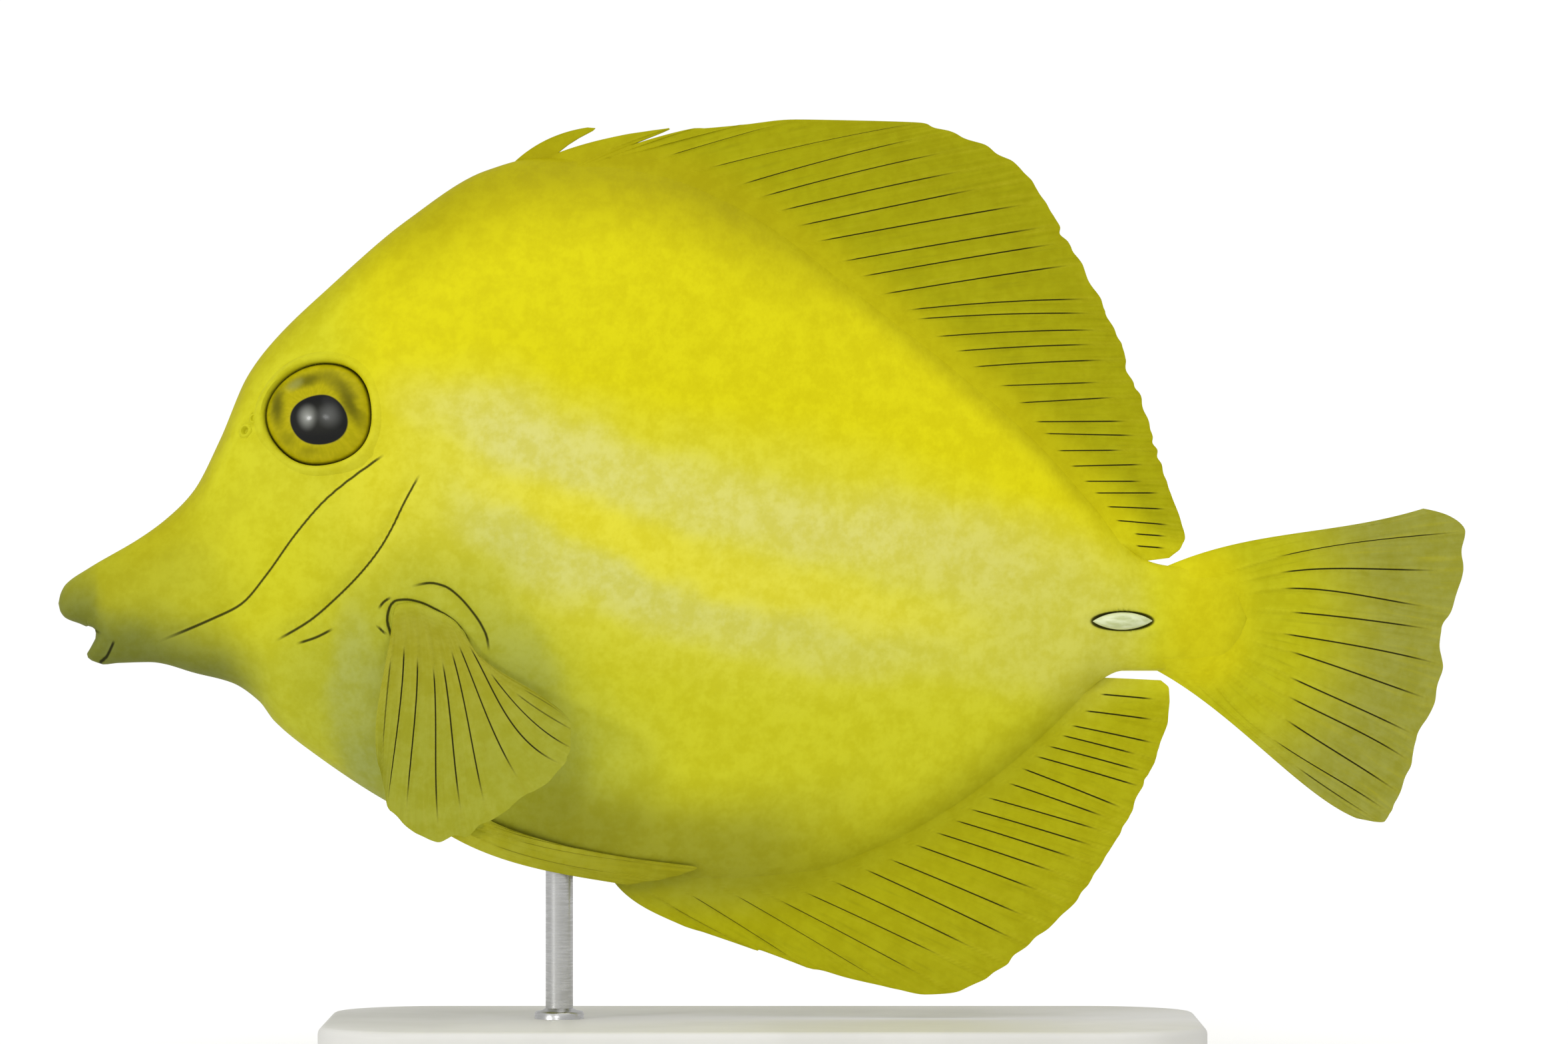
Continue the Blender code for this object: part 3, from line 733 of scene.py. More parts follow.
    def group(self) -> bpy.types.NodeTree:
        """Group that gives the colour of the skin at a place.

        Returns:
            The node group.
        """
        patch_group = self.patch_group()
        group, graph, start, end = new_group(
            "skin_tone",
            {"Position": "Vector", Edge.BACK.value: "Float", Edge.BELLY.value: "Float"},
            {"Color": "Color", "Tint": "Color", "Mottle": "Float"})
        position = start.outputs["Position"]
        wander = graph.maths("SUBTRACT", graph.noise(position, 110.0, 3.0), 0.5)
        shift = graph.maths("MULTIPLY", wander, self.drift)
        moved = graph.vector("ADD", position, graph.join(shift, 0.0, shift)).outputs[0]
        x, _, z = graph.split(moved)
        level = [(AXIS_HEIGHT + h) * MM for h in (17, -3)]
        colour = graph.blend(graph.span(z, *level), self.upper, self.lower)
        ahead = [(s - TOTAL_LENGTH / 2) * MM for s in (43, 33)]
        colour = graph.blend(graph.span(x, *ahead), colour, self.head)
        for patch in self.patches:
            colour = graph.blend(self.spot(graph, patch_group, moved, patch), colour,
                                 patch.colour)
        # Painted shade along the back and the belly.
        for shade in self.shades:
            inner, outer = shade.depth
            share = graph.span(start.outputs[shade.edge.value], outer, inner)
            stops = [(s - TOTAL_LENGTH / 2) * MM for s in shade.stretch]
            share = graph.maths("MULTIPLY", share, graph.span(x, stops[0], stops[1]))
            share = graph.maths("MULTIPLY", share, graph.span(x, stops[3], stops[2]))
            share = graph.maths("MULTIPLY", share, shade.strength)
            colour = graph.blend(share, colour, shade.colour)
        fine = graph.noise(position, self.mottle_scale * 3, 2.0, 0.6)
        broad = graph.noise(position, self.mottle_scale, 3.0, 0.55)
        specks = graph.maths("MULTIPLY_ADD", fine, 0.35, graph.maths("MULTIPLY", broad, 0.65))
        tint = graph.blend(graph.span(specks, 0.36, 0.64), self.speck_deep, self.speck_pale)
        graph.feed(end.inputs["Tint"], tint)
        graph.feed(end.inputs["Color"], graph.blend(1.0, colour, tint, "MULTIPLY"))
        graph.feed(end.inputs["Mottle"], specks)
        return group


@dataclass(frozen=True)
class SkinLine:
    """A fold of the skin drawn as a fine line in side view."""

    points: Points
    high: float
    low: float
    ahead: float
    ends: tuple[float, float]

    def relief(self, distance: np.ndarray, along: np.ndarray) -> np.ndarray:
        """How far the skin stands out beside the line.

        Args:
            distance: Signed distance from the line, plus on the raised side.
            along: Share of the line's length.

        Returns:
            Heights in millimetres.
        """
        raised = self.high * np.exp(-np.maximum(distance, 0) / self.ahead)
        sunk = -self.low * bump(np.minimum(distance, 0) + 0.2, 0.9)
        step = ease((distance + 0.3) / 0.6)
        return (sunk + (raised - sunk) * step) * self.weight(along)

    def weight(self, along: np.ndarray) -> np.ndarray:
        """Fade towards both ends of the line."""
        first, last = self.ends
        return ease(along / first) * ease((1 - along) / last)


@dataclass(frozen=True)
class SkinFinish:
    """Satin skin with tiny rough scales, and painted shade in its folds and hollows."""

    crease_shade_colour: Colour = linear(24, 23, 3)
    fold_width: float = 0.115
    scale_size: float = 0.55
    scale_height: float = 0.05
    roughness: float = 0.5
    specular: float = 0.08

    def material(self, tone: bpy.types.NodeTree) -> bpy.types.Material:
        """Build the material.

        Args:
            tone: Group that gives the colour of the skin.

        Returns:
            The material.
        """
        material, graph, shader = new_material("skin", Specular_IOR_Level=self.specular)
        position = graph.position()
        skin = graph.use(tone, Position=position, Below_Back=graph.read("below_back"),
                         Above_Belly=graph.read("above_belly"))
        colour = skin.outputs["Color"]
        # Painted shade: a dark line along each fold and along the mouth.
        for name in ("folds_a", "folds_b", "folds_c"):
            distances = graph.split(graph.read(name, "Vector"))
            weights = graph.split(graph.read(name + "_on", "Vector"))
            for distance, weight in zip(distances, weights):
                near = graph.span(graph.maths("ABSOLUTE", distance), self.fold_width * 2.2,
                                  self.fold_width * 0.6)
                share = graph.maths("MULTIPLY", near, weight)
                colour = graph.blend(graph.maths("MULTIPLY", share, 0.92), colour,
                                     self.crease_shade_colour)
        # Painted shade inside the eye sockets and the scalpel grooves.
        hollow = graph.span(graph.read("hollow"), -0.02, 0.12, 0.0, 0.9)
        colour = graph.blend(hollow, colour, self.crease_shade_colour)
        graph.feed(shader.inputs["Base Color"], colour)
        cells = graph.add("ShaderNodeTexVoronoi", feature="SMOOTH_F1")
        graph.feed(cells.inputs["Vector"], graph.vector("MULTIPLY", position,
                                                        (1.0, 1.0, 0.8)).outputs[0])
        graph.feed(cells.inputs["Scale"], 1 / (self.scale_size * MM))
        graph.feed(cells.inputs["Smoothness"], 0.4)
        normal = graph.relief(cells.outputs["Distance"], self.scale_height * MM, 0.7)
        normal = graph.relief(graph.noise(position, 240.0, 3.0), 0.12 * MM, 0.6, normal)
        graph.feed(shader.inputs["Normal"], normal)
        graph.feed(shader.inputs["Roughness"],
                   graph.span(skin.outputs["Mottle"], 0.3, 0.7, self.roughness - 0.06,
                              self.roughness + 0.08))
        return material


@dataclass(frozen=True)
class FinFinish:
    """Olive yellow membrane with fine dark ray lines."""

    name: str
    middle: Colour
    edge: Colour
    base_reach: tuple[float, float] = (-0.5, 5.5)
    edge_reach: tuple[float, float] = (5.0, 20.0)
    pale: Colour = linear(188, 181, 36)
    dark: Colour = linear(138, 135, 12)
    line_colour: Colour = linear(30, 29, 3)
    line_width: float = 0.09
    roughness: float = 0.5
    specular: float = 0.06

    def material(self, tone: bpy.types.NodeTree) -> bpy.types.Material:
        """Build the material.

        Args:
            tone: Group that gives the colour of the skin, which the fin's base takes on.

        Returns:
            The material.
        """
        material, graph, shader = new_material(self.name, Specular_IOR_Level=self.specular)
        position = graph.position()
        skin = graph.use(tone, Position=position, Below_Back=graph.read("below_back"),
                         Above_Belly=graph.read("above_belly"))
        clear, off = graph.read("clear"), graph.read("ray_off")
        streak_place = graph.join(graph.maths("MULTIPLY", graph.read("ray"), 3.1),
                                  graph.maths("MULTIPLY", graph.read("along"), 2.2), 0.0)
        streaks = graph.noise(streak_place, 1.6, 3.0, 0.6)
        outer = graph.blend(graph.span(clear, *self.edge_reach), self.middle, self.edge)
        pale = graph.maths("MULTIPLY", graph.span(streaks, 0.5, 0.8), 0.35)
        dark = graph.maths("MULTIPLY", graph.span(streaks, 0.5, 0.2), 0.35)
        outer = graph.blend(dark, graph.blend(pale, outer, self.pale), self.dark)
        crest = graph.span(off, 0.5, 0.12)
        outer = graph.blend(graph.maths("MULTIPLY", crest, 0.12), outer, self.pale)
        outer = graph.blend(1.0, outer, skin.outputs["Tint"], "MULTIPLY")
        colour = graph.blend(graph.span(clear, *self.base_reach), skin.outputs["Color"], outer)
        line = graph.span(off, self.line_width * 1.7, self.line_width * 0.5)
        line = graph.maths("MULTIPLY", line, graph.read("drawn"), clamp=True)
        colour = graph.blend(line, colour, self.line_colour)
        graph.feed(shader.inputs["Base Color"], colour)
        joints = graph.maths("SINE", graph.maths("MULTIPLY", graph.read("reach"), 9.0))
        joints = graph.maths("MULTIPLY", joints, crest)
        normal = graph.relief(joints, 0.03 * MM, 0.5)
        normal = graph.relief(graph.noise(position, 900.0, 2.0), 0.04 * MM, 0.5, normal)
        graph.feed(shader.inputs["Normal"], normal)
        graph.feed(shader.inputs["Roughness"],
                   graph.span(streaks, 0.2, 0.8, self.roughness - 0.05, self.roughness + 0.08))
        return material


@dataclass(frozen=True)
class EyeFinish:
    """Olive gold iris with darker arcs round a black, wet pupil.

    The patches lie in the plane of the eye, in millimetres about its centre. The painted
    pupil reflections are a dim grey haze and two pale painted highlights. They add to the
    reflections of the lamps.
    """

    iris: Colour = linear(178, 168, 12)
    iris_light: Colour = linear(190, 178, 18)
    rim_shade_colour: Colour = linear(60, 57, 8)
    pupil: Colour = linear(8, 9, 7)
    pupil_size: tuple[float, float] = (3.6, 3.2)
    pupil_place: tuple[float, float] = (0.42, -1.14)
    painted_pupil_reflections: tuple[Patch, ...] = (
        Patch((0.4, -1.1), (2.5, 1.5), 0, linear(46, 46, 36), 0.6, 0.8),
        Patch((-0.85, -0.8), (0.85, 1.05), 0, linear(158, 160, 152), 0.85, 0.95),
        Patch((1.85, -0.65), (1.0, 1.0), 0, linear(96, 97, 94), 0.85, 0.95))
    radius: float = 6.72
    patches: tuple[Patch, ...] = (
        Patch((-1.3, 4.2), (2.3, 0.8), 10, linear(96, 93, 14), 0.85, 0.85),
        Patch((2.7, 3.4), (2.2, 0.9), -42, linear(124, 118, 14), 0.75, 0.85),
        Patch((4.4, 0.7), (0.8, 2.5), 25, linear(98, 94, 12), 0.9, 0.85),
        Patch((-4.9, 1.0), (0.8, 2.1), 5, linear(96, 93, 12), 0.9, 0.85),
        Patch((-3.7, -3.2), (1.1, 0.8), -40, linear(136, 131, 14), 0.6, 0.85),
        Patch((-1.0, -5.0), (1.3, 0.5), 0, linear(130, 125, 14), 0.5, 0.85),
        Patch((-2.9, 3.7), (1.0, 0.6), 30, linear(164, 164, 84), 0.6, 0.85))

    def cloud(self, graph: Graph, patch_group: bpy.types.NodeTree, flat: object,
              colour: object, patches: Sequence[Patch]) -> object:
        """Lay soft patches over a colour.

        Args:
            graph: Graph that they are added to.
            patch_group: Group that gives the mask of a soft oval.
            flat: Place in the plane of the eye.
            colour: Colour that they cover.
            patches: The patches.

        Returns:
            The socket with the colour.
        """
        for patch in patches:
            mask = graph.use(patch_group, Position=flat,
                             Centre=(patch.centre[0], 0, patch.centre[1]),
                             Size=(patch.size[0], 1.0, patch.size[1]),
                             Tilt=math.radians(patch.tilt), Soft=patch.soft)
            share = graph.maths("MULTIPLY", mask.outputs[0], patch.strength)
            colour = graph.blend(share, colour, patch.colour)
        return colour

    def material(self, patch_group: bpy.types.NodeTree) -> bpy.types.Material:
        """Build the material.

        Args:
            patch_group: Group that gives the mask of a soft oval.

        Returns:
            The material.
        """
        material, graph, shader = new_material("eye", Roughness=0.45, Coat_Roughness=0.17,
                                               Coat_IOR=1.33, Specular_IOR_Level=0.02)
        spot = graph.read("eye_place", "Vector")
        x, y, _ = graph.split(spot)
        radius = graph.vector("LENGTH", graph.join(x, y, 0.0)).outputs["Value"]
        lens = graph.vector("LENGTH", graph.join(
            *[graph.maths("DIVIDE", graph.maths("SUBTRACT", way, middle), size) for
              way, middle, size in zip((x, y), self.pupil_place, self.pupil_size)],
            0.0)).outputs["Value"]
        turn = graph.maths("ARCTAN2", y, x)
        fibres = graph.noise(graph.join(graph.maths("MULTIPLY", turn, 3.4),
                                        graph.maths("MULTIPLY", radius, 0.35), 0.0), 3.0, 3.0)
        clouds = graph.noise(spot, 0.9, 2.0)
        colour = graph.blend(graph.span(fibres, 0.35, 0.7), self.iris, self.iris_light)
        flat = graph.join(x, 0.0, y)
        rough = graph.maths("MULTIPLY", graph.maths("SUBTRACT", clouds, 0.5), 0.6)
        flat = graph.vector("ADD", flat, graph.join(rough, 0.0, rough)).outputs[0]
        colour = self.cloud(graph, patch_group, flat, colour, self.patches)
        # Painted shade: a dark ring where the eyeball meets its rim.
        colour = graph.blend(graph.span(radius, self.radius - 0.45, self.radius - 0.05), colour,
                             self.rim_shade_colour)
        # Painted reflections in the pupil: a grey haze and two pale highlights.
        pupil_with_reflections = self.cloud(graph, patch_group, graph.join(x, 0.0, y), self.pupil,
                           self.painted_pupil_reflections)
        colour = graph.blend(graph.span(lens, 1.03, 0.97), colour, pupil_with_reflections)
        graph.feed(shader.inputs["Base Color"], colour)
        graph.feed(shader.inputs["Coat Weight"], graph.span(lens, 1.1, 0.95, 0.15, 1.0))
        graph.feed(shader.inputs["Normal"], graph.relief(fibres, 0.05 * MM, 0.25))
        return material


@dataclass(frozen=True)
class BoneFinish:
    """Smooth pale bone of the folded spine."""

    light: Colour = linear(228, 236, 190)
    dark: Colour = linear(196, 205, 142)

    def material(self) -> bpy.types.Material:
        """Build the material.

        Returns:
            The material.
        """
        material, graph, shader = new_material("scalpel", Roughness=0.3, Coat_Weight=0.3,
                                               Coat_Roughness=0.1)
        position = graph.position()
        grain = graph.noise(graph.vector("MULTIPLY", position, (0.25, 1.0, 1.0)).outputs[0],
                            1800.0, 3.0)
        graph.feed(shader.inputs["Base Color"],
                   graph.blend(graph.span(grain, 0.35, 0.75), self.light, self.dark))
        graph.feed(shader.inputs["Normal"], graph.relief(grain, 0.02 * MM, 0.4))
        return material


@dataclass(frozen=True)
class PaintFinish:
    """Satin pale paint of the stand's plate."""

    colour: Colour = linear(232, 231, 226)
    worn: Colour = linear(222, 221, 215)

    def material(self) -> bpy.types.Material:
        """Build the material.

        Returns:
            The material.
        """
        material, graph, shader = new_material("stand_paint")
        position = graph.position()
        cloud = graph.noise(position, 45.0, 4.0)
        graph.feed(shader.inputs["Base Color"],
                   graph.blend(graph.span(cloud, 0.35, 0.7), self.colour, self.worn))
        graph.feed(shader.inputs["Roughness"], graph.span(cloud, 0.3, 0.7, 0.42, 0.52))
        graph.feed(shader.inputs["Normal"],
                   graph.relief(graph.noise(position, 900.0, 2.0), 0.03 * MM, 0.4))
        return material


@dataclass(frozen=True)
class SteelFinish:
    """Round brushed steel."""

    colour: Colour = (0.62, 0.62, 0.61, 1.0)
    brushed: Colour = (0.5, 0.5, 0.49, 1.0)

    def material(self) -> bpy.types.Material:
        """Build the material.

        Returns:
            The material.
        """
        material, graph, shader = new_material("stand_steel", Metallic=1.0)
        long = graph.vector("MULTIPLY", graph.position(), (1.0, 1.0, 12.0)).outputs[0]
        lines = graph.noise(long, 420.0, 4.0, 0.6)
        graph.feed(shader.inputs["Base Color"],
                   graph.blend(graph.span(lines, 0.3, 0.7), self.colour, self.brushed))
        graph.feed(shader.inputs["Roughness"], graph.span(lines, 0.3, 0.7, 0.24, 0.38))
        graph.feed(shader.inputs["Normal"], graph.relief(lines, 0.02 * MM, 0.3))
        return material


@dataclass
class Skin:
    """One closed skin from the snout to the end of the tail stalk."""

    sides: int = 288
    rings: int = 324
    even: float = 0.3
    ring_table: Points = ((0, 0), (0.07, 1.2), (0.18, 9), (0.3, 20), (0.55, 51), (0.82, 118),
                          (0.92, 140), (1, FLESH_LENGTH))
    lip_grab: tuple[float, ...] = (5.6, -4.1, 2.4, -2.0, -0.45)
    folds: tuple[SkinLine, ...] = (
        SkinLine(((46.6, 18.8), (44.6, 15.1), (43.2, 12.2), (41.7, 9.6), (39.2, 6.4),
                  (35.7, 2.9), (32.6, 0.3), (28.0, -2.4)), 0.42, 0.35, 5.0, (0.05, 0.08)),
        SkinLine(((42.2, 21.4), (34.9, 15.9), (30.9, 11.4), (26.9, 5.9), (23.8, 2.4),
                  (19.8, 0.4), (12.6, -2.6)), 0.26, 0.25, 4.0, (0.04, 0.12)),
        SkinLine(((45.3, 4.6), (48, 5.1), (49.8, 4.7), (51.6, 3.4), (53.2, 1.6), (54.5, -0.3),
                  (55.2, -2), (55.4, -3.7)), 0.2, 0.3, 2.5, (0.15, 0.1)),
        SkinLine(((35.8, -0.6), (33.4, -1.8), (30.9, -2.6)), 0.08, 0.1, 1.5, (0.2, 0.2)),
        SkinLine(((7.4, -2.2), (6.9, -3.3), (6.3, -4.4), (5.2, -5.3)), 0.12, 0.22, 0.8,
                 (0.15, 0.1)),
        SkinLine(((43.6, -3.2), (42.9, -1.2), (42.5, 0.4), (42.8, 2.0), (43.7, 2.9), (44.9, 3.0),
                  (46.4, 2.75), (48.5, 1.85), (51.1, 0.2), (53.4, -2.9)), 0.1, 0.3, 1.0,
                 (0.1, 0.12)),
        SkinLine(((41.4, 1.8), (42.1, 2.7), (43.1, 3.35)), 0.04, 0.06, 0.8, (0.25, 0.25)),
        SkinLine(((41.3, -0.3), (41.8, -0.9), (42.4, -1.4)), 0.04, 0.06, 0.8, (0.25, 0.25)))
    mouth: SkinLine = SkinLine(((3.6, -0.75), (4.6, -1.05), (5.8, -1.45)), 0, 0, 1,
                               (0.01, 0.5))
    lip_height: float = 0.25
    mouth_depth: float = 0.3
    eye_place: tuple[float, float] = (33.6, 26.5)
    eye_radius: float = 6.4
    rim_radius: float = 7.45
    nostrils: Points = ((24.2, 24.4, 0.6), (25.4, 25.9, 0.45))
    scalpel_place: tuple[float, float] = (135.8, 0.2)
    scalpel_groove: tuple[float, float, float] = (4.2, 1.32, 1.2)

    def base_points(self, sphere: np.ndarray) -> np.ndarray:
        """Carry the points of a unit sphere over to the body.

        Args:
            sphere: Points of the sphere, its poles up and down.

        Returns:
            Rows of s, y and h.
        """
        x, y, z = sphere.T
        share = np.arccos(np.clip(z, -1, 1)) / math.pi
        s = np.clip(SmoothCurve(self.ring_table)(share), 0, FLESH_LENGTH)
        turn = np.arctan2(x, y)
        half, h = BODY.section(s, turn - self.even / 4 * np.sin(4 * turn))
        return np.stack([s, -half, h], axis=1)

    def pull_lip(self, points: np.ndarray) -> np.ndarray:
        """Draw the lower lip forward under the mouth."""
        s0, h0, reach, ds, dh = self.lip_grab
        distance = np.hypot(points[:, 0] - s0, points[:, 2] - h0) / reach
        fall = np.clip(1 - distance ** 2, 0, 1) ** 2
        return points + fall[:, None] * np.array([ds, 0, dh])

    def relief(self, s: np.ndarray, h: np.ndarray) -> tuple[np.ndarray, np.ndarray, np.ndarray]:
        """Folds, lips and nostril pits over the side view.

        Args:
            s: Places along the fish.
            h: Heights.

        Returns:
            Heights, and for each fold and the mouth the distances and the weights.
        """
        height = np.zeros(len(s))
        distances, weights = [], []
        for fold in self.folds:
            distance, along = PathLine(fold.points).measure(s, h)
            height += fold.relief(distance, along)
            distances.append(distance)
            weights.append(fold.weight(along))
        distance, along = PathLine(self.mouth.points).measure(s, h)
        weight = self.mouth.weight(along)
        lips = bump(np.abs(distance) - 0.95, 0.5)
        height += weight * (self.lip_height * lips - self.mouth_depth * bump(distance, 0.3))
        distances.append(distance)
        weights.append(weight * 0.7)
        for place_s, place_h, radius in self.nostrils:
            height -= 0.8 * ease((radius * 1.35 - np.hypot(s - place_s, h - place_h)) / 0.3)
        return height, np.stack(distances, axis=1), np.stack(weights, axis=1)

    def sink(self, points: np.ndarray) -> tuple[np.ndarray, np.ndarray]:
        """Open the eye sockets and the grooves of the scalpels.

        Args:
            points: Skin points in metres.

        Returns:
            The new points, and how many millimetres inside a hollow each one is.
        """
        hollow = np.full(len(points), -1.0)
        seat = BODY.seat(*self.eye_place, self.eye_radius)
        groove = BODY.seat(*self.scalpel_place, 2.0)
        long, tall, deep = self.scalpel_groove
        for side in Side:
            mine = points[:, 1] < 0 if side is Side.LEFT else points[:, 1] > 0
            flip = np.array([1, 1 if side is Side.LEFT else -1, 1])
            for matrix in (seat, groove):
                turn = np.array(matrix.to_3x3())
                origin = np.array(matrix.translation)
                local = (points * flip - origin) @ turn / MM
                if matrix is seat:
                    radius = np.hypot(local[:, 0], local[:, 1])
                    radius = radius / eye_swell(local[:, 0], local[:, 1])
                    lift = 0.35 * bump(radius - self.rim_radius, 1.4)
                    share = ease((self.rim_radius - 0.25 - radius) / 0.55)
                    local[:, 2] += lift + share * (-3.1 - local[:, 2])
                    inside = self.rim_radius - 0.4 - radius
                else:
                    oval = np.hypot(local[:, 0] / long, local[:, 1] / tall)
                    share = ease((1.05 - oval) / 0.5)
                    local[:, 2] += 0.1 * bump(oval - 1.35, 0.25) - deep * share
                    inside = (1.02 - oval) * tall
                hollow = np.where(mine, np.maximum(hollow, inside), hollow)
                moved = (local * MM) @ turn.T + origin
                points = np.where(mine[:, None], moved * flip, points)
        return points, hollow

    def build(self, material: bpy.types.Material) -> bpy.types.Object:
        """Model the skin and dress it.

        Args:
            material: Finish of the skin.

        Returns:
            The piece.
        """
        bm = bmesh.new()
        bmesh.ops.create_uvsphere(bm, u_segments=self.sides, v_segments=self.rings, radius=1)
        mesh = to_mesh(bm, "skin_of_the_fish")
        base = self.base_points(mesh_points(mesh))
        below_back, above_belly = BODY.depths(base[:, 0], base[:, 2])
        base = self.pull_lip(base)
        move_points(mesh, place(*base.T))
        face_out(mesh)
        points, normals = mesh_points(mesh), vertex_normals(mesh)
        height, distances, weights = self.relief(base[:, 0], base[:, 2])
        points, hollow = self.sink(points + normals * height[:, None] * MM)
        move_points(mesh, points)
        store(mesh, "below_back", below_back)
        store(mesh, "above_belly", above_belly)
        store(mesh, "hollow", hollow)
        for number, name in enumerate(("folds_a", "folds_b", "folds_c")):
            columns = slice(3 * number, 3 * number + 3)
            store(mesh, name, distances[:, columns])
            store(mesh, name + "_on", weights[:, columns])
        return show(mesh, material,
                    ("head", "gill_cover_left", "gill_cover_right", "trunk", "tail_stalk"))


@dataclass
class EyeParts:
    """Rim of skin, eyeball and nostril rims of one side."""

    side: Side
    place: tuple[float, float] = (33.72, 26.5)
    radius: float = 6.72
    depth: float = 2.9
    sink: float = 0.9
    finish: EyeFinish = EyeFinish()
    lens_rise: float = 0.4
    rim_profile: Points = ((6.76, -1.5), (6.77, -0.2), (6.87, 0.25), (7.1, 0.5), (7.4, 0.58),
                           (7.7, 0.5), (8.05, 0.3), (8.4, 0.05), (8.75, -0.3), (8.75, -0.8),
                           (8.1, -1.2), (7.3, -1.6))
    rim_steps: int = 96
    nostrils: Points = ((24.2, 24.4, 0.6), (25.4, 25.9, 0.45))
    nostril_profile: Points = ((0, -0.9), (0.55, -0.8), (0.8, -0.1), (0.95, 0.2), (1.15, 0.22),
                               (1.45, 0.04), (1.75, -0.3), (1.5, -1.1), (0, -1.2))

    def spun(self, name: str, profile: Points, steps: int) -> bpy.types.Mesh:
        """Turn a closed or axis-ended profile round Z.

        Args:
            name: Name of the mesh.
            profile: Pairs of radius and height in millimetres.
            steps: Pieces of the full turn.

        Returns:
            The mesh, in millimetres about the origin.
        """
        bm = bmesh.new()
        verts = [bm.verts.new((radius, 0, height)) for radius, height in profile]
        pairs = list(zip(verts, verts[1:]))
        if profile[0][0] > 0:
            pairs.append((verts[-1], verts[0]))
        edges = [bm.edges.new(pair) for pair in pairs]
        bmesh.ops.spin(bm, geom=verts + edges, axis=(0, 0, 1), cent=(0, 0, 0),
                       angle=2 * math.pi, steps=steps, use_merge=True)
        bmesh.ops.remove_doubles(bm, verts=bm.verts[:], dist=1e-4)
        return to_mesh(bm, name)

    def settle(self, mesh: bpy.types.Mesh, seat: Matrix, start: float, end: float) -> None:
        """Put a spun mesh on the skin, its outer part following the flank.

        Args:
            mesh: Mesh in millimetres, its Z out of the skin.
            seat: Frame on the left flank.
            start: Radius where the mesh begins to follow the flank.
            end: Radius from which it follows it wholly.
        """
        local = mesh_points(mesh)
        turn, origin = np.array(seat.to_3x3()), np.array(seat.translation)
        flat = local * (1, 1, 0) * MM @ turn.T + origin
        s, y, h = unplace(flat)
        rise = (BODY.flank(s, h) + y) * abs(turn[1, 2])
        share = ease((np.hypot(local[:, 0], local[:, 1]) - start) / (end - start))
        local[:, 2] += rise * share
        move_points(mesh, local * MM @ turn.T + origin)
        mirror_points(mesh, self.side)

    def eyeball(self) -> bpy.types.Mesh:
        """Flattened ball with the lens swelling out of the pupil.

        Returns:
            The mesh, with each vertex's place in the eye kept for the material.
        """
        bm = bmesh.new()
        bmesh.ops.create_uvsphere(bm, u_segments=96, v_segments=64, radius=1)
        mesh = to_mesh(bm, f"eyeball_{self.side.value}")
        local = mesh_points(mesh) * (self.radius, self.radius, self.depth)
        wide, tall = self.finish.pupil_size
        ahead, up = self.finish.pupil_place
        lens = np.hypot((local[:, 0] - ahead) / wide, (local[:, 1] - up) / tall)
        front = local[:, 2] > 0
        rise = self.lens_rise * np.clip(1 - lens ** 2, 0, 1) ** 1.5
        store(mesh, "eye_place", local)
        local[:, 2] += np.where(front, rise, 0) - self.sink
        local[:, :2] *= eye_swell(local[:, 0], local[:, 1])[:, None]
        seat = BODY.seat(*self.place, self.radius)
        move_points(mesh, local * MM @ np.array(seat.to_3x3()).T + np.array(seat.translation))
        mirror_points(mesh, self.side)
        return mesh

    def build(self, eye: bpy.types.Material, skin: bpy.types.Material) -> None:
        """Model the eye, its rim and the nostrils and dress them.

        Args:
            eye: Finish of the eyeball.
            skin: Finish of the rims.
        """
        show(self.eyeball(), eye, [f"eye_{self.side.value}"])
        rim = self.spun(f"eye_rim_{self.side.value}", self.rim_profile, self.rim_steps)
        points = mesh_points(rim)
        points[:, :2] *= eye_swell(points[:, 0], points[:, 1])[:, None]
        move_points(rim, points)
        self.settle(rim, BODY.seat(*self.place, self.radius), 7.3, 8.6)
        self.keep_tone(rim)
        show(rim, skin)
        joined = bmesh.new()
        for s, h, radius in self.nostrils:
            away = math.hypot(s - self.place[0], h - self.place[1])
            lift = 0.06 + 0.35 * float(bump(np.array(away - 7.45), 1.4))
            profile = [(r * radius, z * radius + lift) for r, z in self.nostril_profile]
            pit = self.spun("nostril", profile, 24)
            self.settle(pit, BODY.seat(s, h, 0.5), 0, 0.1)
            joined.from_mesh(pit)
            bpy.data.meshes.remove(pit)
        nostrils = to_mesh(joined, f"nostrils_{self.side.value}")
        self.keep_tone(nostrils)
        show(nostrils, skin)
        LOG.info("eye, rim and nostrils of the %s side", self.side.value)

    def keep_tone(self, mesh: bpy.types.Mesh) -> None:
        """Give a small piece the attributes that the skin's shades follow."""
        s, _, h = unplace(mesh_points(mesh))
        below_back, above_belly = BODY.depths(s, h)
        store(mesh, "below_back", below_back)
        store(mesh, "above_belly", above_belly)


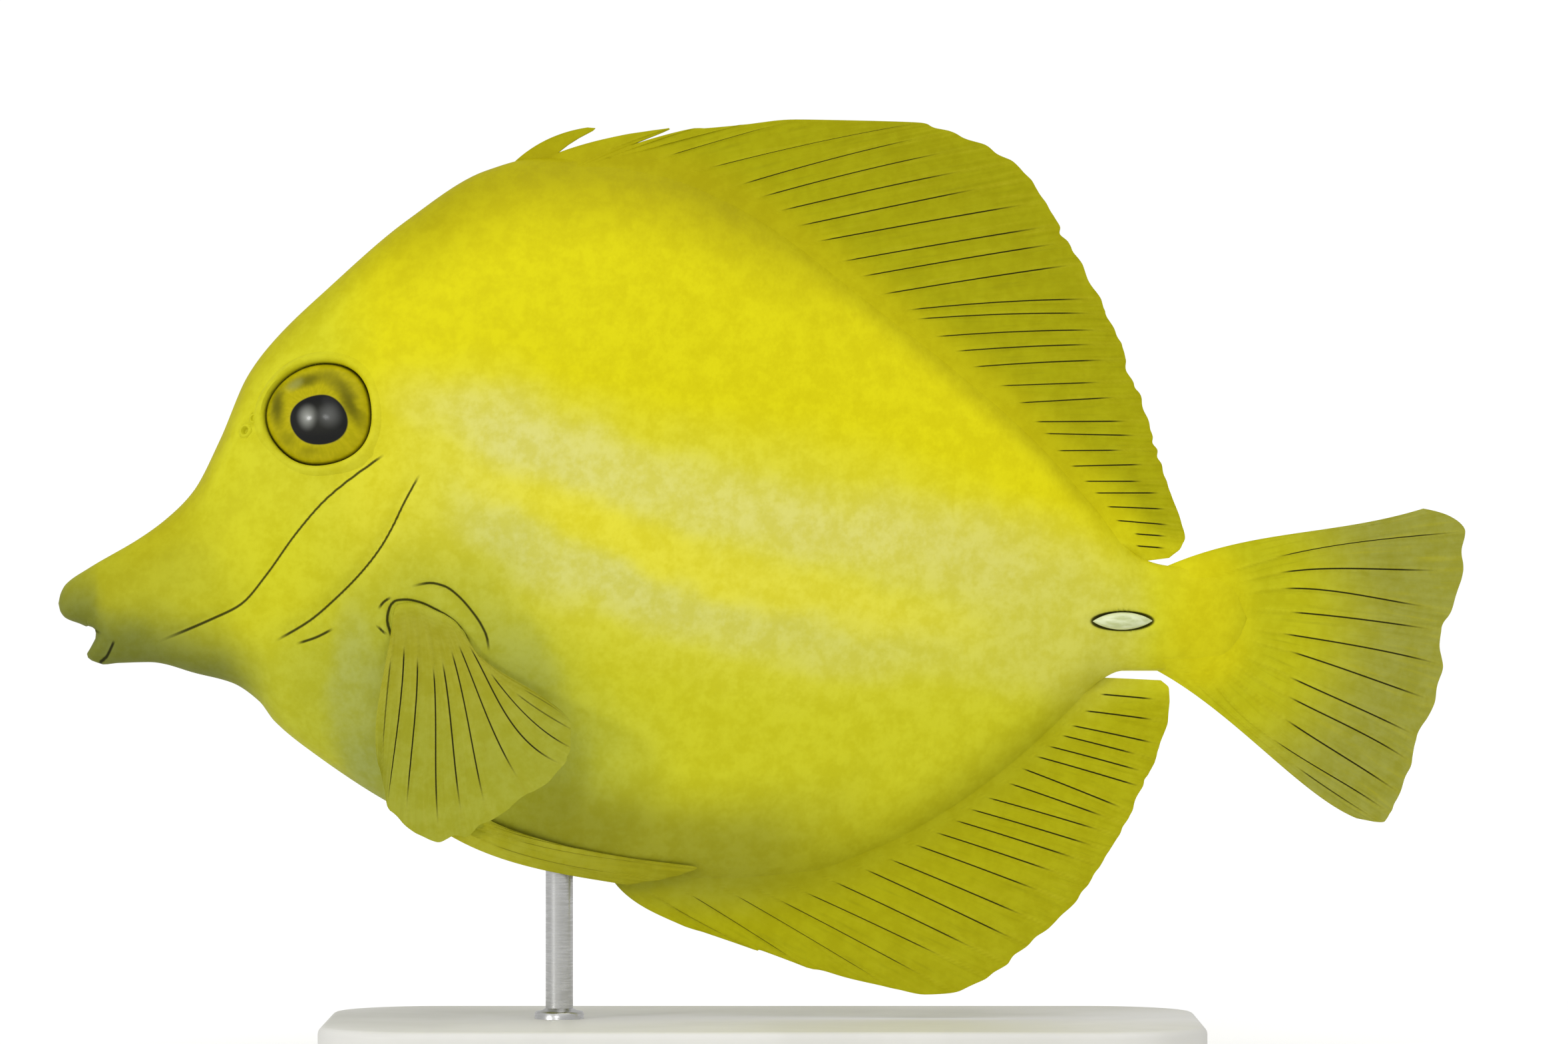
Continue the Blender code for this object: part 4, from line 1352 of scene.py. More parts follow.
@dataclass
class RayFin:
    """A fin as one closed sheet with a ridge on both faces for each ray.

    A station gives a ray's number and its root and tip in s and h. With four points it
    gives the root, a third, two thirds and the tip instead. A row of `lines` gives a ray's
    number, how dark its line is, and the shares of the way where the line starts and ends.
    """

    name: str
    node: str
    stations: Points
    lines: Points
    bow: tuple[Sequence[float], Sequence[float]] = ((0, 1), (0, 0))
    late: float = 0.5
    notches: dict[int, Sequence[float]] = field(default_factory=dict)
    notch_shares: Sequence[float] = (0, 0.1, 0.2, 0.28, 0.33, 0.4, 0.5, 0.66, 0.85, 1)
    spines: int = 0
    cells: int = 12
    fine_cells: int = 26
    rows: int = 60
    buried: float = 3.4
    dive: float = 0.0
    membrane: float = 0.32
    ridge: float = 0.2
    ridge_start: float = 0.3
    fillet_reach: float = 2.1
    fillet_ramp: float = 1.2
    fleshy: float = 0.5
    fleshy_round: float = 0.0
    wave: float = 0.25
    scallop: float = 0.013
    ripple: float = 0.002
    ray_width: float = 0.3
    ray_taper: float = 0.6
    spine_stout: float = 1.6
    ridge_ramp: float = 3.0
    branch_width: float = 0.22
    branch_height: float = 0.45
    branch_rise: tuple[float, float] = (0.45, 0.2)
    branch_spread: float = 0.27
    branch_part: tuple[float, float] = (0.4, 0.55)
    side_ramp: float = 0.35
    margin_thin: float = 0.55
    margin_ramp: tuple[float, float] = (0.965, 0.035)
    line_fades: tuple[float, float] = (0.07, 0.16)
    lean: Optional[Callable[[np.ndarray, np.ndarray, np.ndarray], np.ndarray]] = None

    def rays(self) -> int:
        """Number of the last ray."""
        return int(self.stations[-1][0])

    def columns(self) -> np.ndarray:
        """Ray numbers of the sheet's columns, closer together at the notches."""
        parts = [np.zeros(1)]
        for ray in range(self.rays()):
            count = self.fine_cells if ray in self.notches else self.cells
            parts.append(ray + np.arange(1, count + 1) / count)
        return np.concatenate(parts)

    def on_ray(self, column: np.ndarray, t: np.ndarray) -> tuple[np.ndarray, np.ndarray]:
        """Place on a ray.

        Args:
            column: Ray numbers.
            t: Shares of the way from root to tip.

        Returns:
            The s and h of each place.
        """
        given = [SmoothCurve([(row[0], row[i]) for row in self.stations])(column)
                 for i in range(1, len(self.stations[0]))]
        if len(given) == 4:
            s0, h0, s1, h1 = given
            bow = np.interp(column, *self.bow)
            bend = bow * BOW_PEAK * t * (1 - t) * (t * self.late + (1 - t) * (1 - self.late))
            return (s0 + (s1 - s0) * t - bend * (h1 - h0),
                    h0 + (h1 - h0) * t + bend * (s1 - s0))
        u, v, w = t - 1 / 3, t - 2 / 3, t - 1
        shares = (-4.5 * u * v * w, 13.5 * t * v * w, -13.5 * t * u * w, 4.5 * t * u * v)
        return (sum(share * value for share, value in zip(shares, given[0::2])),
                sum(share * value for share, value in zip(shares, given[1::2])))

    def shorter(self, column: np.ndarray) -> np.ndarray:
        """How much shorter than the rays the membrane is, with small chance differences."""
        rays = self.rays()
        draw = np.random.default_rng(SEED + rays)
        depth = self.scallop * draw.uniform(0.1, 1.3, rays + 2) ** 2
        trim = self.scallop * draw.uniform(-0.4, 0.8, rays + 2)
        lower = np.clip(np.floor(column + 1e-9).astype(int), 0, rays - 1)
        share = column - lower
        result = depth[lower] * np.sin(math.pi * share) ** 2
        phase = draw.uniform(0, 2 * math.pi, 3)
        for pace, turn in zip(RIPPLE_PACES, phase):
            result += self.ripple * np.maximum(np.sin(column * pace + turn), -0.3)
        result += np.maximum(trim[lower] * (1 - share) + trim[lower + 1] * share, 0)
        for ray, cuts in self.notches.items():
            result = np.where(lower == ray, np.interp(share, self.notch_shares, cuts), result)
        return result

    def half_thickness(self, column: np.ndarray, along: np.ndarray, off: np.ndarray,
                       spacing: np.ndarray, clear: np.ndarray) -> np.ndarray:
        """Half thickness of the free sheet, with ridges and branches.

        Args:
            column: Ray numbers.
            along: Shares of the way to the margin.
            off: Millimetres from the nearest ray.
            spacing: Millimetres between rays.
            clear: Millimetres outside the flesh, or along the ray.

        Returns:
            Half thicknesses in millimetres.
        """
        def risen(value: np.ndarray, start: float, reach: float) -> np.ndarray:
            """Smooth step that starts at a value and takes a reach to rise."""
            return ease((value - start) / reach)

        stout = np.interp(column, (self.spines - 0.5, self.spines + 0.5),
                          (self.spine_stout, 1.0))
        main = self.ridge * stout * (1 - self.ray_taper * along) * bump(off, self.ray_width)
        apart = self.branch_spread * spacing * risen(along, *self.branch_part)
        soft = ease(column - self.spines + 0.5)
        branch = (self.branch_height * self.ridge * soft * risen(along, *self.branch_rise)
                  * bump(off - apart, self.branch_width))
        ridges = np.maximum(main, branch) * risen(clear, self.ridge_start, self.ridge_ramp)
        half = self.membrane / 2 * (1 - 0.35 * along) * ease((clear + 1.6) / 2.2) + ridges
        side = np.clip(np.minimum(column, self.rays() - column) / self.side_ramp, 0, 1)
        half = half * (0.45 + 0.55 * np.sqrt(1 - (1 - side) ** 2))
        return half * (1 - self.margin_thin * risen(along, *self.margin_ramp))

    def rooted(self, half: np.ndarray, column: np.ndarray, s: np.ndarray, h: np.ndarray,
               clear: np.ndarray, width: np.ndarray) -> np.ndarray:
        """Thicken a fin on the middle line towards the flesh, so that it grows out of it.

        Args:
            half: Half thickness of the free sheet.
            column: Ray numbers.
            s: Places along the fish.
            h: Heights.
            clear: Millimetres outside the flesh.
            width: Half width of the flesh a millimetre inside its outline.

        Returns:
            Half thicknesses in millimetres.
        """
        power = (BODY.back_power + BODY.belly_power) / 4
        tangent = power * self.fillet_reach
        ramp = ease(np.minimum(column, self.rays() - column) / self.fillet_ramp)
        fillet = width * tangent ** power * np.exp(-(clear + tangent) / self.fillet_reach)
        grown = half + fillet * ramp
        share = ease((-clear - 0.6 * tangent) / tangent)
        return grown * (1 - share) + 0.93 * BODY.flank(s, h) * share

    def drawn(self, column: np.ndarray, t: np.ndarray) -> np.ndarray:
        """How dark the line on the nearest ray is, with its ends fading.

        Args:
            column: Ray numbers.
            t: Shares of the way from root to tip.

        Returns:
            Darkness from 0 to 1.
        """
        near = np.round(column)
        rays, dark, start, end = np.array(self.lines, dtype=float).T
        first, last = np.interp(near, rays, start), np.interp(near, rays, end)
        start_fade, end_fade = self.line_fades
        fades = ease((t - first) / start_fade) * ease((last - t) / end_fade)
        return np.interp(near, rays, dark) * fades

    def build(self, material: bpy.types.Material) -> bpy.types.Object:
        """Model the fin and dress it.

        Args:
            material: Finish of the fin.

        Returns:
            The piece.
        """
        columns = self.columns()
        across = len(columns) - 1
        bm = bmesh.new()
        bmesh.ops.create_grid(bm, x_segments=across, y_segments=self.rows, size=0.5)
        copied = bmesh.ops.extrude_face_region(bm, geom=bm.faces[:], use_keep_orig=True)
        far = [item for item in copied["geom"] if isinstance(item, bmesh.types.BMVert)]
        bmesh.ops.translate(bm, vec=(0, 0, 1), verts=far)
        mesh = to_mesh(bm, self.name)
        grid = mesh_points(mesh)
        column = columns[np.round((grid[:, 0] + 0.5) * across).astype(int)]
        along = np.clip(grid[:, 1] + 0.5, 0, 1)
        face = np.where(grid[:, 2] > 0.5, 1, -1)
        root, tip = self.on_ray(column, 0 * along), self.on_ray(column, 0 * along + 1)
        length = np.hypot(tip[0] - root[0], tip[1] - root[1])
        under = np.minimum(self.buried / length, 0.3)
        t = -under + (1 + under - self.shorter(column)) * along
        s, h = self.on_ray(column, t)
        h = h - self.dive * length * np.minimum(t, 0)
        lower = np.clip(np.floor(column + 1e-9), 0, self.rays() - 1)
        share = column - lower
        before, after = self.on_ray(lower, t), self.on_ray(lower + 1, t)
        spacing = np.hypot(after[0] - before[0], after[1] - before[1])
        off = np.minimum(share, 1 - share) * spacing
        reach = length * np.maximum(t, 0)
        if self.lean is None:
            clear, width = BODY.edge(s, h)
            half = self.half_thickness(column, along, off, spacing, clear)
            half = self.rooted(half, column, s, h, clear, width)
            middle = self.wave * np.sin(column * 0.7 + 1.5 * along) * along ** 2
        else:
            clear = reach
            half = self.half_thickness(column, along, off, spacing, clear)
            half = half + self.fleshy * np.exp(-reach / self.fillet_reach)
            if self.fleshy_round:
                half *= np.sqrt(1 - (1 - np.clip(reach / self.fleshy_round, 0, 1)) ** 2)
            middle = self.lean(s, h, along) + self.wave * np.sin(column * 1.3) * along ** 2
            nearer = 1 - np.abs(middle) / VIEW_DISTANCE
            s = VIEW_CENTRE[0] + (s - VIEW_CENTRE[0]) * nearer
            h = VIEW_CENTRE[1] + (h - VIEW_CENTRE[1]) * nearer
        move_points(mesh, place(s, middle + face * half, h))
        below_back, above_belly = BODY.depths(s, h)
        for name, values in (("clear", clear), ("along", along), ("ray", column),
                             ("ray_off", off), ("reach", reach),
                             ("drawn", self.drawn(column, t)),
                             ("below_back", below_back), ("above_belly", above_belly)):
            store(mesh, name, values)
        face_out(mesh)
        LOG.info("%s with %d rays, %d faces", self.name, self.rays() + 1, len(mesh.polygons))
        return show(mesh, material, [self.node], sharp=60.0)


# A station is the number of a ray, then s and h of its root and of its tip. On the tail and the
# pectoral fin, two places between them stand in the middle. A row of lines is the number of a
# ray, how dark its line is, and where the line starts and ends, as shares of the ray.
# Scratch programs found these numbers for the dorsal, anal, tail and pectoral fins, by a search
# for dark lines in the picture and by curve fits. They were rounded, and some changed.
DORSAL = (
    (0, 56.1, 56.4, 67.6, 63.2), (1, 65, 57.6, 78, 63.1), (2, 68.6, 58.6, 81.6, 63.2),
    (3, 72, 59.5, 87, 63.5), (4, 75.1, 58.6, 94.3, 64.2), (5, 80.3, 57.2, 110.2, 63.8),
    (6, 84.8, 55.1, 114.1, 62.7), (7, 87.2, 53.5, 118.5, 61), (8, 89.8, 51.9, 122.2, 58.9),
    (9, 92.4, 50.1, 124.3, 56.7), (10, 95, 48.2, 126.2, 53.8), (11, 98.3, 45.7, 128.1, 50.8),
    (12, 100.9, 43.8, 129.3, 48.6), (13, 103.8, 41.6, 130.9, 45.8),
    (14, 106.3, 39.6, 133.2, 41.3), (15, 107.7, 38.5, 134, 39.4), (16, 110.4, 36.3, 135, 37.3),
    (17, 112.6, 34.4, 135.9, 35.5), (18, 114.9, 32.4, 136.4, 33.5),
    (19, 117.9, 30.1, 137.4, 30.8), (20, 120.8, 27.9, 138.4, 28.9),
    (21, 123.2, 25.6, 139.4, 25.7), (22, 124.5, 24.1, 139.9, 23.8), (23, 126.7, 21.9, 140.4, 22),
    (24, 128.5, 19.9, 141, 20.2), (25, 130.3, 18, 141.6, 18), (26, 131.6, 16.5, 142.1, 16.5),
    (27, 133, 14.8, 143, 14.4), (28, 134, 13.1, 143.6, 12.3), (29, 134.8, 11.5, 144, 10.8),
    (30, 135.9, 9.9, 143.3, 9.3), (31, 137.2, 7.6, 141.9, 8.2))
DORSAL_LINES = (
    (2, 0, 0.3, 0.9), (3, 0.8, 0.3, 0.9), (4, 1, 0.16, 0.84), (5, 1, 0.1, 0.98),
    (6, 1, 0.08, 0.85), (7, 1, 0.08, 0.84), (8, 1, 0.07, 0.8), (9, 1, 0.06, 0.8),
    (10, 1, 0.06, 0.92), (13, 1, 0.05, 0.95), (14, 1, 0.08, 0.95), (16, 1, 0.06, 0.92),
    (17, 1, 0.08, 0.86), (18, 1, 0.08, 0.89), (19, 1, 0.11, 0.8), (21, 1, 0.08, 0.84),
    (22, 1, 0.08, 0.87), (23, 1, 0.05, 0.7), (24, 1, 0.05, 0.83), (25, 1, 0.05, 0.74),
    (26, 1, 0.06, 0.88), (28, 1, 0.1, 0.84), (29, 1, 0.27, 0.76), (30, 1, 0.22, 0.76),
    (31, 0, 0.2, 0.8))
ANAL = (
    (0, 69.5, -30.4, 80.1, -38.9), (1, 73.7, -33, 88.8, -41.8), (2, 79.1, -33.7, 95.6, -44.1),
    (2.5, 81.8, -33.8, 101.5, -45.9), (3, 84.6, -33.7, 106.7, -46.8),
    (3.5, 86.8, -33.9, 110.8, -47.6), (4, 89.1, -33.9, 114.4, -47.3),
    (5, 93.1, -33.4, 118.8, -45.5), (6, 97.4, -32.3, 121.4, -43.8), (7, 101.7, -30.9, 124, -41.4),
    (8, 104.7, -29.6, 126.7, -38.9), (9, 108.1, -27.9, 129.8, -36), (10, 110.8, -26.4, 131.7, -33.4),
    (11, 113.3, -24.9, 133.2, -31.2), (12, 115.3, -23.5, 134.4, -29.2),
    (13, 117.4, -22, 135.6, -27.3), (14, 120.1, -20.1, 136.4, -25.8),
    (15, 122.2, -18.3, 137.2, -24.2), (16, 123.8, -16.8, 138.6, -21.1),
    (17, 125.3, -15.5, 139.5, -19.3), (18, 126.8, -14.1, 140.2, -17.5),
    (19, 128.1, -12.9, 140.9, -15.6), (20, 129.5, -11.1, 141.8, -12.7),
    (21, 130.7, -9, 142, -10), (21.6, 131, -7.8, 141.9, -8.4), (22, 131.2, -7, 140.9, -7.4))
ANAL_LINES = (
    (0, 0, 0.3, 0.8), (1, 0.7, 0.31, 0.8), (2, 1, 0.1, 0.89), (3, 1, 0.08, 0.9),
    (4, 1, 0.11, 0.84), (5, 1, 0.08, 0.78), (6, 1, 0.06, 0.82), (7, 1, 0.05, 0.92),
    (8, 1, 0.06, 0.86), (9, 1, 0.05, 0.8), (10, 1, 0.05, 0.8), (12, 1, 0.05, 0.89),
    (14, 1, 0.07, 0.85), (15, 1, 0.05, 0.92), (16, 1, 0.06, 0.98), (17, 1, 0.07, 0.92),
    (18, 1, 0.09, 0.83), (19, 1, 0.09, 0.94), (20, 1, 0.12, 0.86), (21, 1, 0.2, 0.84),
    (22, 0, 0.2, 0.8))
CAUDAL = (
    (0, 139.5, 6.2, 151.1, 10.15, 162.5, 12, 174.3, 14.5),
    (0.5, 143, 5.8, 154.2, 9.55, 165.4, 11.6, 177.7, 13.9),
    (1, 146.5, 5.3, 157.2, 8.7, 168.2, 10.5, 179.8, 11.6),
    (2, 148.3, 4.1, 158.2, 6.6, 168.4, 6.8, 179.6, 6.7),
    (3, 149.1, 3, 158.8, 4.3, 168.4, 3.1, 178.1, 1.6),
    (4, 149.4, 1.6, 158.6, 1.2, 167.7, 0.2, 176.8, -1.1),
    (5, 149.4, -0.3, 158.7, -1.8, 167.9, -3.4, 177, -5.5),
    (6, 149.2, -1.6, 158.2, -4, 167.1, -7, 175.9, -10.1),
    (7, 148.9, -2.8, 157.1, -6.9, 165.5, -10.7, 173.7, -14.6),
    (8, 148.2, -3.7, 156.2, -9, 164.8, -13.3, 173, -18),
    (9, 147.3, -4.5, 154.9, -11.1, 163.3, -16.6, 171.6, -22),
    (10, 146, -5.2, 152.9, -13.2, 161.6, -19, 170.4, -24.6),
    (11, 143.2, -5.6, 151.2, -13, 159.8, -19.6, 169, -25.6),
    (12, 139.6, -5.8, 149.4, -12.5, 158.2, -20, 166, -25.1))
CAUDAL_LINES = (
    (0, 0, 0.3, 0.9), (1, 1, 0.28, 0.98), (2, 1, 0.25, 0.92), (3, 1, 0.24, 0.9),
    (4, 1, 0.28, 0.95), (5, 1, 0.24, 0.98), (6, 1, 0.29, 0.97), (7, 1, 0.33, 0.98),
    (8, 1, 0.36, 0.99), (9, 1, 0.4, 0.99), (10, 1, 0.42, 0.98), (11, 0.9, 0.6, 0.97),
    (12, 0, 0.6, 0.9))
PECTORAL = (
    (0, 42.8, 1.3, 41.8, -5.2, 40.7, -11.7, 40.8, -17.9),
    (1, 43.1, 2.2, 42.5, -4.7, 41.7, -12.8, 41.4, -20.2),
    (2, 43.9, 2.6, 44.1, -5.5, 43.2, -14.5, 42, -23.6),
    (3, 44.9, 2.7, 45.9, -6, 45.2, -16, 44.4, -26.1),
    (4, 46, 2.6, 48, -7, 48.2, -17.5, 48.8, -28.4),
    (5, 47.1, 2.2, 49.5, -7.5, 50.6, -17.5, 52.1, -27.6),
    (6, 48.3, 1.6, 51.2, -7.3, 53.1, -16.7, 55.1, -25.5),
    (7, 49.2, 1.2, 52.5, -6.2, 55.7, -14.2, 60.2, -22.1),
    (7.5, 49.6, 0.95, 53.4, -6.3, 57, -13.8, 62.6, -20.9),
    (8, 50, 0.7, 54.3, -6.4, 58.3, -13.4, 64.7, -18.3),
    (9, 50.7, 0.2, 55, -6.2, 59.9, -12, 65.7, -16.1),
    (10, 51.3, -0.5, 55.2, -6, 60.1, -10.3, 65.8, -13.8),
    (11, 51.6, -0.8, 55.2, -5.7, 60, -8.9, 65.2, -12.3),
    (12, 51.9, -1.2, 54.9, -5.2, 59.4, -8, 64.5, -11.5))
PECTORAL_LINES = (
    (0, 0, 0.4, 0.8), (1, 0.7, 0.32, 0.85), (2, 1, 0.23, 1), (3, 1, 0.27, 0.93),
    (4, 1, 0.28, 0.94), (5, 1, 0.24, 0.9), (6, 1, 0.19, 0.91), (7, 1, 0.18, 0.92),
    (8, 1, 0.17, 0.99), (9, 1, 0.34, 1.02), (10, 0.7, 0.55, 1.03), (11, 0.5, 0.62, 0.98),
    (12, 0, 0.6, 0.9))
PELVIC = ((0, 46.2, -24.6, 73, -33.6), (1, 48.4, -24.8, 77, -32.9), (2, 50.8, -25, 81.8, -31.4),
          (3, 51.6, -24.7, 75.5, -30.5), (4, 52.4, -24.4, 68.5, -29.4),
          (5, 53.2, -24.1, 60.5, -27.6))


@dataclass
class Fins:
    """All seven fins."""

    root_place: tuple[float, float] = (46.5, 0)
    root_sink: float = 0.35
    root_share: float = 0.3
    spread: float = 7.5
    spread_power: float = 1.2
    rear_flare: float = 0.05
    pelvic_root: float = 1.9
    pelvic_bend: float = 0.2
    pelvic_stand: float = 3.5
    pelvic_place: tuple[float, float] = (60, -31.5)
    pelvic_rise: float = 0.42
    pelvic_flare: float = 0.05
    pelvic_spread: float = 0.25

    def midline(self) -> list[tuple[RayFin, FinFinish]]:
        """The dorsal, anal and tail fins, each with its finish."""
        dorsal = RayFin("dorsal_sail", "dorsal_fin", DORSAL, DORSAL_LINES,
                        ((0, 1, 3, 5, 7, 9, 13, 14, 18, 19),
                         (0.12, 0.03, 0, 0.016, 0.016, 0.003, 0.006, 0.018, 0.012, 0)),
                        spines=4, fillet_reach=3.0, dive=-0.8,
                        notch_shares=(0, 0.14, 0.25, 0.33, 0.38, 0.44, 0.54, 0.69, 0.86, 1),
                        notches={0: (0, 0.03, 0.16, 0.42, 0.64, 0.55, 0.4, 0.19, 0.06, 0),
                                 1: (0, 0.04, 0.16, 0.34, 0.48, 0.42, 0.32, 0.2, 0.09, 0.03),
                                 2: (0.03, 0.03, 0.04, 0.05, 0.05, 0.047, 0.043, 0.035, 0.02,
                                     0.01)})
        anal = RayFin("anal_sail", "anal_fin", ANAL, ANAL_LINES,
                      ((0, 1, 2, 3), (-0.13, -0.03, 0.004, 0.004)), late=0.3, spines=2,
                      fillet_reach=2.6, dive=0.4,
                      notches={0: (0, 0.005, 0.02, 0.045, 0.05, 0.048, 0.04, 0.03, 0.012, 0),
                               1: (0, 0.01, 0.05, 0.07, 0.07, 0.065, 0.055, 0.04, 0.02, 0),
                               2: (0, 0.01, 0.04, 0.055, 0.055, 0.05, 0.042, 0.03, 0.015, 0)})
        tail = RayFin("tail_fan", "tail_fin", CAUDAL, CAUDAL_LINES, cells=18,
                      fillet_reach=2.6, fillet_ramp=0.7, ridge=0.22, scallop=0.011)
        return [
            (dorsal, FinFinish("dorsal_fin", linear(170, 167, 8), linear(163, 160, 9))),
            (anal, FinFinish("anal_fin", linear(177, 174, 12), linear(174, 171, 17))),
            (tail, FinFinish("tail_fin", linear(190, 188, 22), linear(156, 156, 60),
                             base_reach=(0.0, 5.5), edge_reach=(6.0, 20.0)))]

    def pectoral(self, side: Side) -> RayFin:
        """Fan of one flank with its fleshy root.

        Args:
            side: Flank that carries it.

        Returns:
            The fin.
        """
        turn = -1 if side is Side.LEFT else 1
        start = float(BODY.flank(*[np.array([value]) for value in self.root_place])[0])

        def lean(s: np.ndarray, h: np.ndarray, along: np.ndarray) -> np.ndarray:
            """Distance of the sheet from the middle plane."""
            share = ease(along / self.root_share)
            skin = BODY.flank(s, h) * (1 - share) + start * share
            behind = self.rear_flare * (s - self.root_place[0]) * along
            fan = self.spread * along ** self.spread_power
            return turn * (skin - self.root_sink + fan + behind)

        return RayFin(f"pectoral_fan_{side.value}", f"pectoral_fin_{side.value}", PECTORAL,
                      PECTORAL_LINES, rows=64, buried=0.0, membrane=0.3, ridge=0.14,
                      ridge_start=2.5, fillet_reach=4.2, fleshy=1.1, fleshy_round=1.3,
                      wave=0.15, scallop=0.014, ripple=0.005, lean=lean)

    def pelvic(self, side: Side) -> RayFin:
        """Blade that lies back along the belly.

        Args:
            side: Flank that carries it.

        Returns:
            The fin.
        """
        turn = -1 if side is Side.LEFT else 1

        def lean(s: np.ndarray, h: np.ndarray, along: np.ndarray) -> np.ndarray:
            """Distance of the sheet from the middle plane."""
            behind, below = self.pelvic_place
            free = (self.pelvic_stand + self.pelvic_rise * (h - below)
                    + self.pelvic_flare * (s - behind) + self.pelvic_spread * along)
            return turn * (self.pelvic_root
                           + (free - self.pelvic_root) * ease(along / self.pelvic_bend))

        return RayFin(f"pelvic_blade_{side.value}", f"pelvic_fin_{side.value}", PELVIC,
                      ((0, 0, 0.2, 0.8), (1, 0.5, 0.25, 0.85), (4, 0.5, 0.25, 0.85),
                       (5, 0, 0.2, 0.8)), ((0, 3, 5), (-0.08, -0.035, -0.035)), late=0.3,
                      cells=10, buried=0.0, membrane=0.34, ridge=0.16, fillet_reach=2.0,
                      fleshy=0.35, wave=0.0, scallop=0.01, lean=lean)

    def build(self, tone: bpy.types.NodeTree) -> None:
        """Model and dress every fin.

        Args:
            tone: Group that gives the colour of the skin.
        """
        for fin, finish in self.midline():
            fin.build(finish.material(tone))
        fan_finish = FinFinish("pectoral_fin", linear(163, 160, 40), linear(161, 163, 48),
                               base_reach=(-2.0, 4.0), pale=linear(176, 174, 66),
                               dark=linear(150, 145, 30)).material(tone)
        blade_finish = FinFinish("pelvic_fin", linear(192, 190, 50), linear(160, 157, 30),
                                 base_reach=(-1.0, 6.0), edge_reach=(8, 30)).material(tone)
        for side in Side:
            self.pectoral(side).build(fan_finish)
            self.pelvic(side).build(blade_finish)


@dataclass
class Scalpel:
    """The folded spine of one side, pointed at both ends."""

    side: Side
    place: tuple[float, float] = (135.8, 0.2)
    half: tuple[float, float, float] = (3.85, 1.12, 0.95)
    lift: float = 0.1

    def build(self, material: bpy.types.Material) -> None:
        """Model the blade and dress it.

        Args:
            material: Finish of the bone.
        """
        bm = bmesh.new()
        bmesh.ops.create_uvsphere(bm, u_segments=32, v_segments=40, radius=1)
        bmesh.ops.rotate(bm, cent=(0, 0, 0), verts=bm.verts[:],
                         matrix=Matrix.Rotation(math.pi / 2, 3, "Y"))
        mesh = to_mesh(bm, f"scalpel_blade_{self.side.value}")
        local = mesh_points(mesh)
        taper = np.sqrt(np.clip(1 - local[:, 0] ** 2, 0, 1)) ** 0.75
        keel = 1 + 0.12 * np.clip(local[:, 2], 0, 1)
        local[:, 1] *= taper
        local[:, 2] *= taper * keel
        local = local * self.half + (0, 0, self.lift)
        seat = BODY.seat(*self.place, 2.0)
        move_points(mesh, local * MM @ np.array(seat.to_3x3()).T + np.array(seat.translation))
        mirror_points(mesh, self.side)
        show(mesh, material, [f"scalpel_{self.side.value}"])
        LOG.info("scalpel of the %s side", self.side.value)


@dataclass
class Stand:
    """Flat plate and one short post up to the belly."""

    size: tuple[float, float, float] = (112.0, 60.0, 6.0)
    corner: float = 14.0
    edge: float = 1.0
    post_s: float = 64.0
    post_radius: float = 1.75
    sunk: float = 1.2

    def plate(self) -> bpy.types.Mesh:
        """Plate with round corners and a softened upper edge.

        Returns:
            The mesh.
        """
        long, wide, tall = self.size
        bm = bmesh.new()
        bmesh.ops.create_cube(bm, size=1)
        bmesh.ops.scale(bm, vec=(long * MM, wide * MM, tall * MM), verts=bm.verts[:])
        bmesh.ops.translate(bm, vec=(0, 0, tall / 2 * MM), verts=bm.verts[:])
        upright = [edge for edge in bm.edges
                   if abs(edge.verts[0].co.z - edge.verts[1].co.z) > 1e-6]
        bmesh.ops.bevel(bm, geom=upright, offset=self.corner * MM, segments=20, profile=0.5,
                        affect="EDGES", material=-1)
        rim = [edge for edge in bm.edges
               if min(vert.co.z for vert in edge.verts) > (tall - 0.1) * MM]
        bmesh.ops.bevel(bm, geom=rim, offset=self.edge * MM, segments=5, profile=0.5,
                        affect="EDGES", material=-1)
        return to_mesh(bm, "stand_plate")

    def post(self) -> bpy.types.Mesh:
        """Round post with a low collar on the plate.

        Returns:
            The mesh.
        """
        radius, tall = self.post_radius, self.size[2]
        belly = BODY.curves()[1]
        top = float(belly(np.array([self.post_s]))[0]) + AXIS_HEIGHT + self.sunk
        profile = ((0, tall - 0.5), (radius + 1.4, tall - 0.5), (radius + 1.4, tall + 0.7),
                   (radius + 1.2, tall + 0.95), (radius + 0.5, tall + 1.05),
                   (radius, tall + 1.35), (radius, top), (0, top))
        bm = bmesh.new()
        verts = [bm.verts.new((r * MM, 0, z * MM)) for r, z in profile]
        edges = [bm.edges.new(pair) for pair in zip(verts, verts[1:])]
        bmesh.ops.spin(bm, geom=verts + edges, axis=(0, 0, 1), cent=(0, 0, 0),
                       angle=2 * math.pi, steps=48, use_merge=True)
        bmesh.ops.remove_doubles(bm, verts=bm.verts[:], dist=1e-7)
        bmesh.ops.recalc_face_normals(bm, faces=bm.faces[:])
        shift = self.post_s - TOTAL_LENGTH / 2
        bmesh.ops.translate(bm, vec=(shift * MM, 0, 0), verts=bm.verts[:])
        return to_mesh(bm, "stand_post")

    def build(self, paint: bpy.types.Material, steel: bpy.types.Material) -> None:
        """Model the stand and dress it.

        Args:
            paint: Finish of the plate.
            steel: Finish of the post.
        """
        show(self.plate(), paint, ["stand_base"], sharp=50.0)
        show(self.post(), steel, ["stand_rod"], sharp=50.0)
        LOG.info("stand")


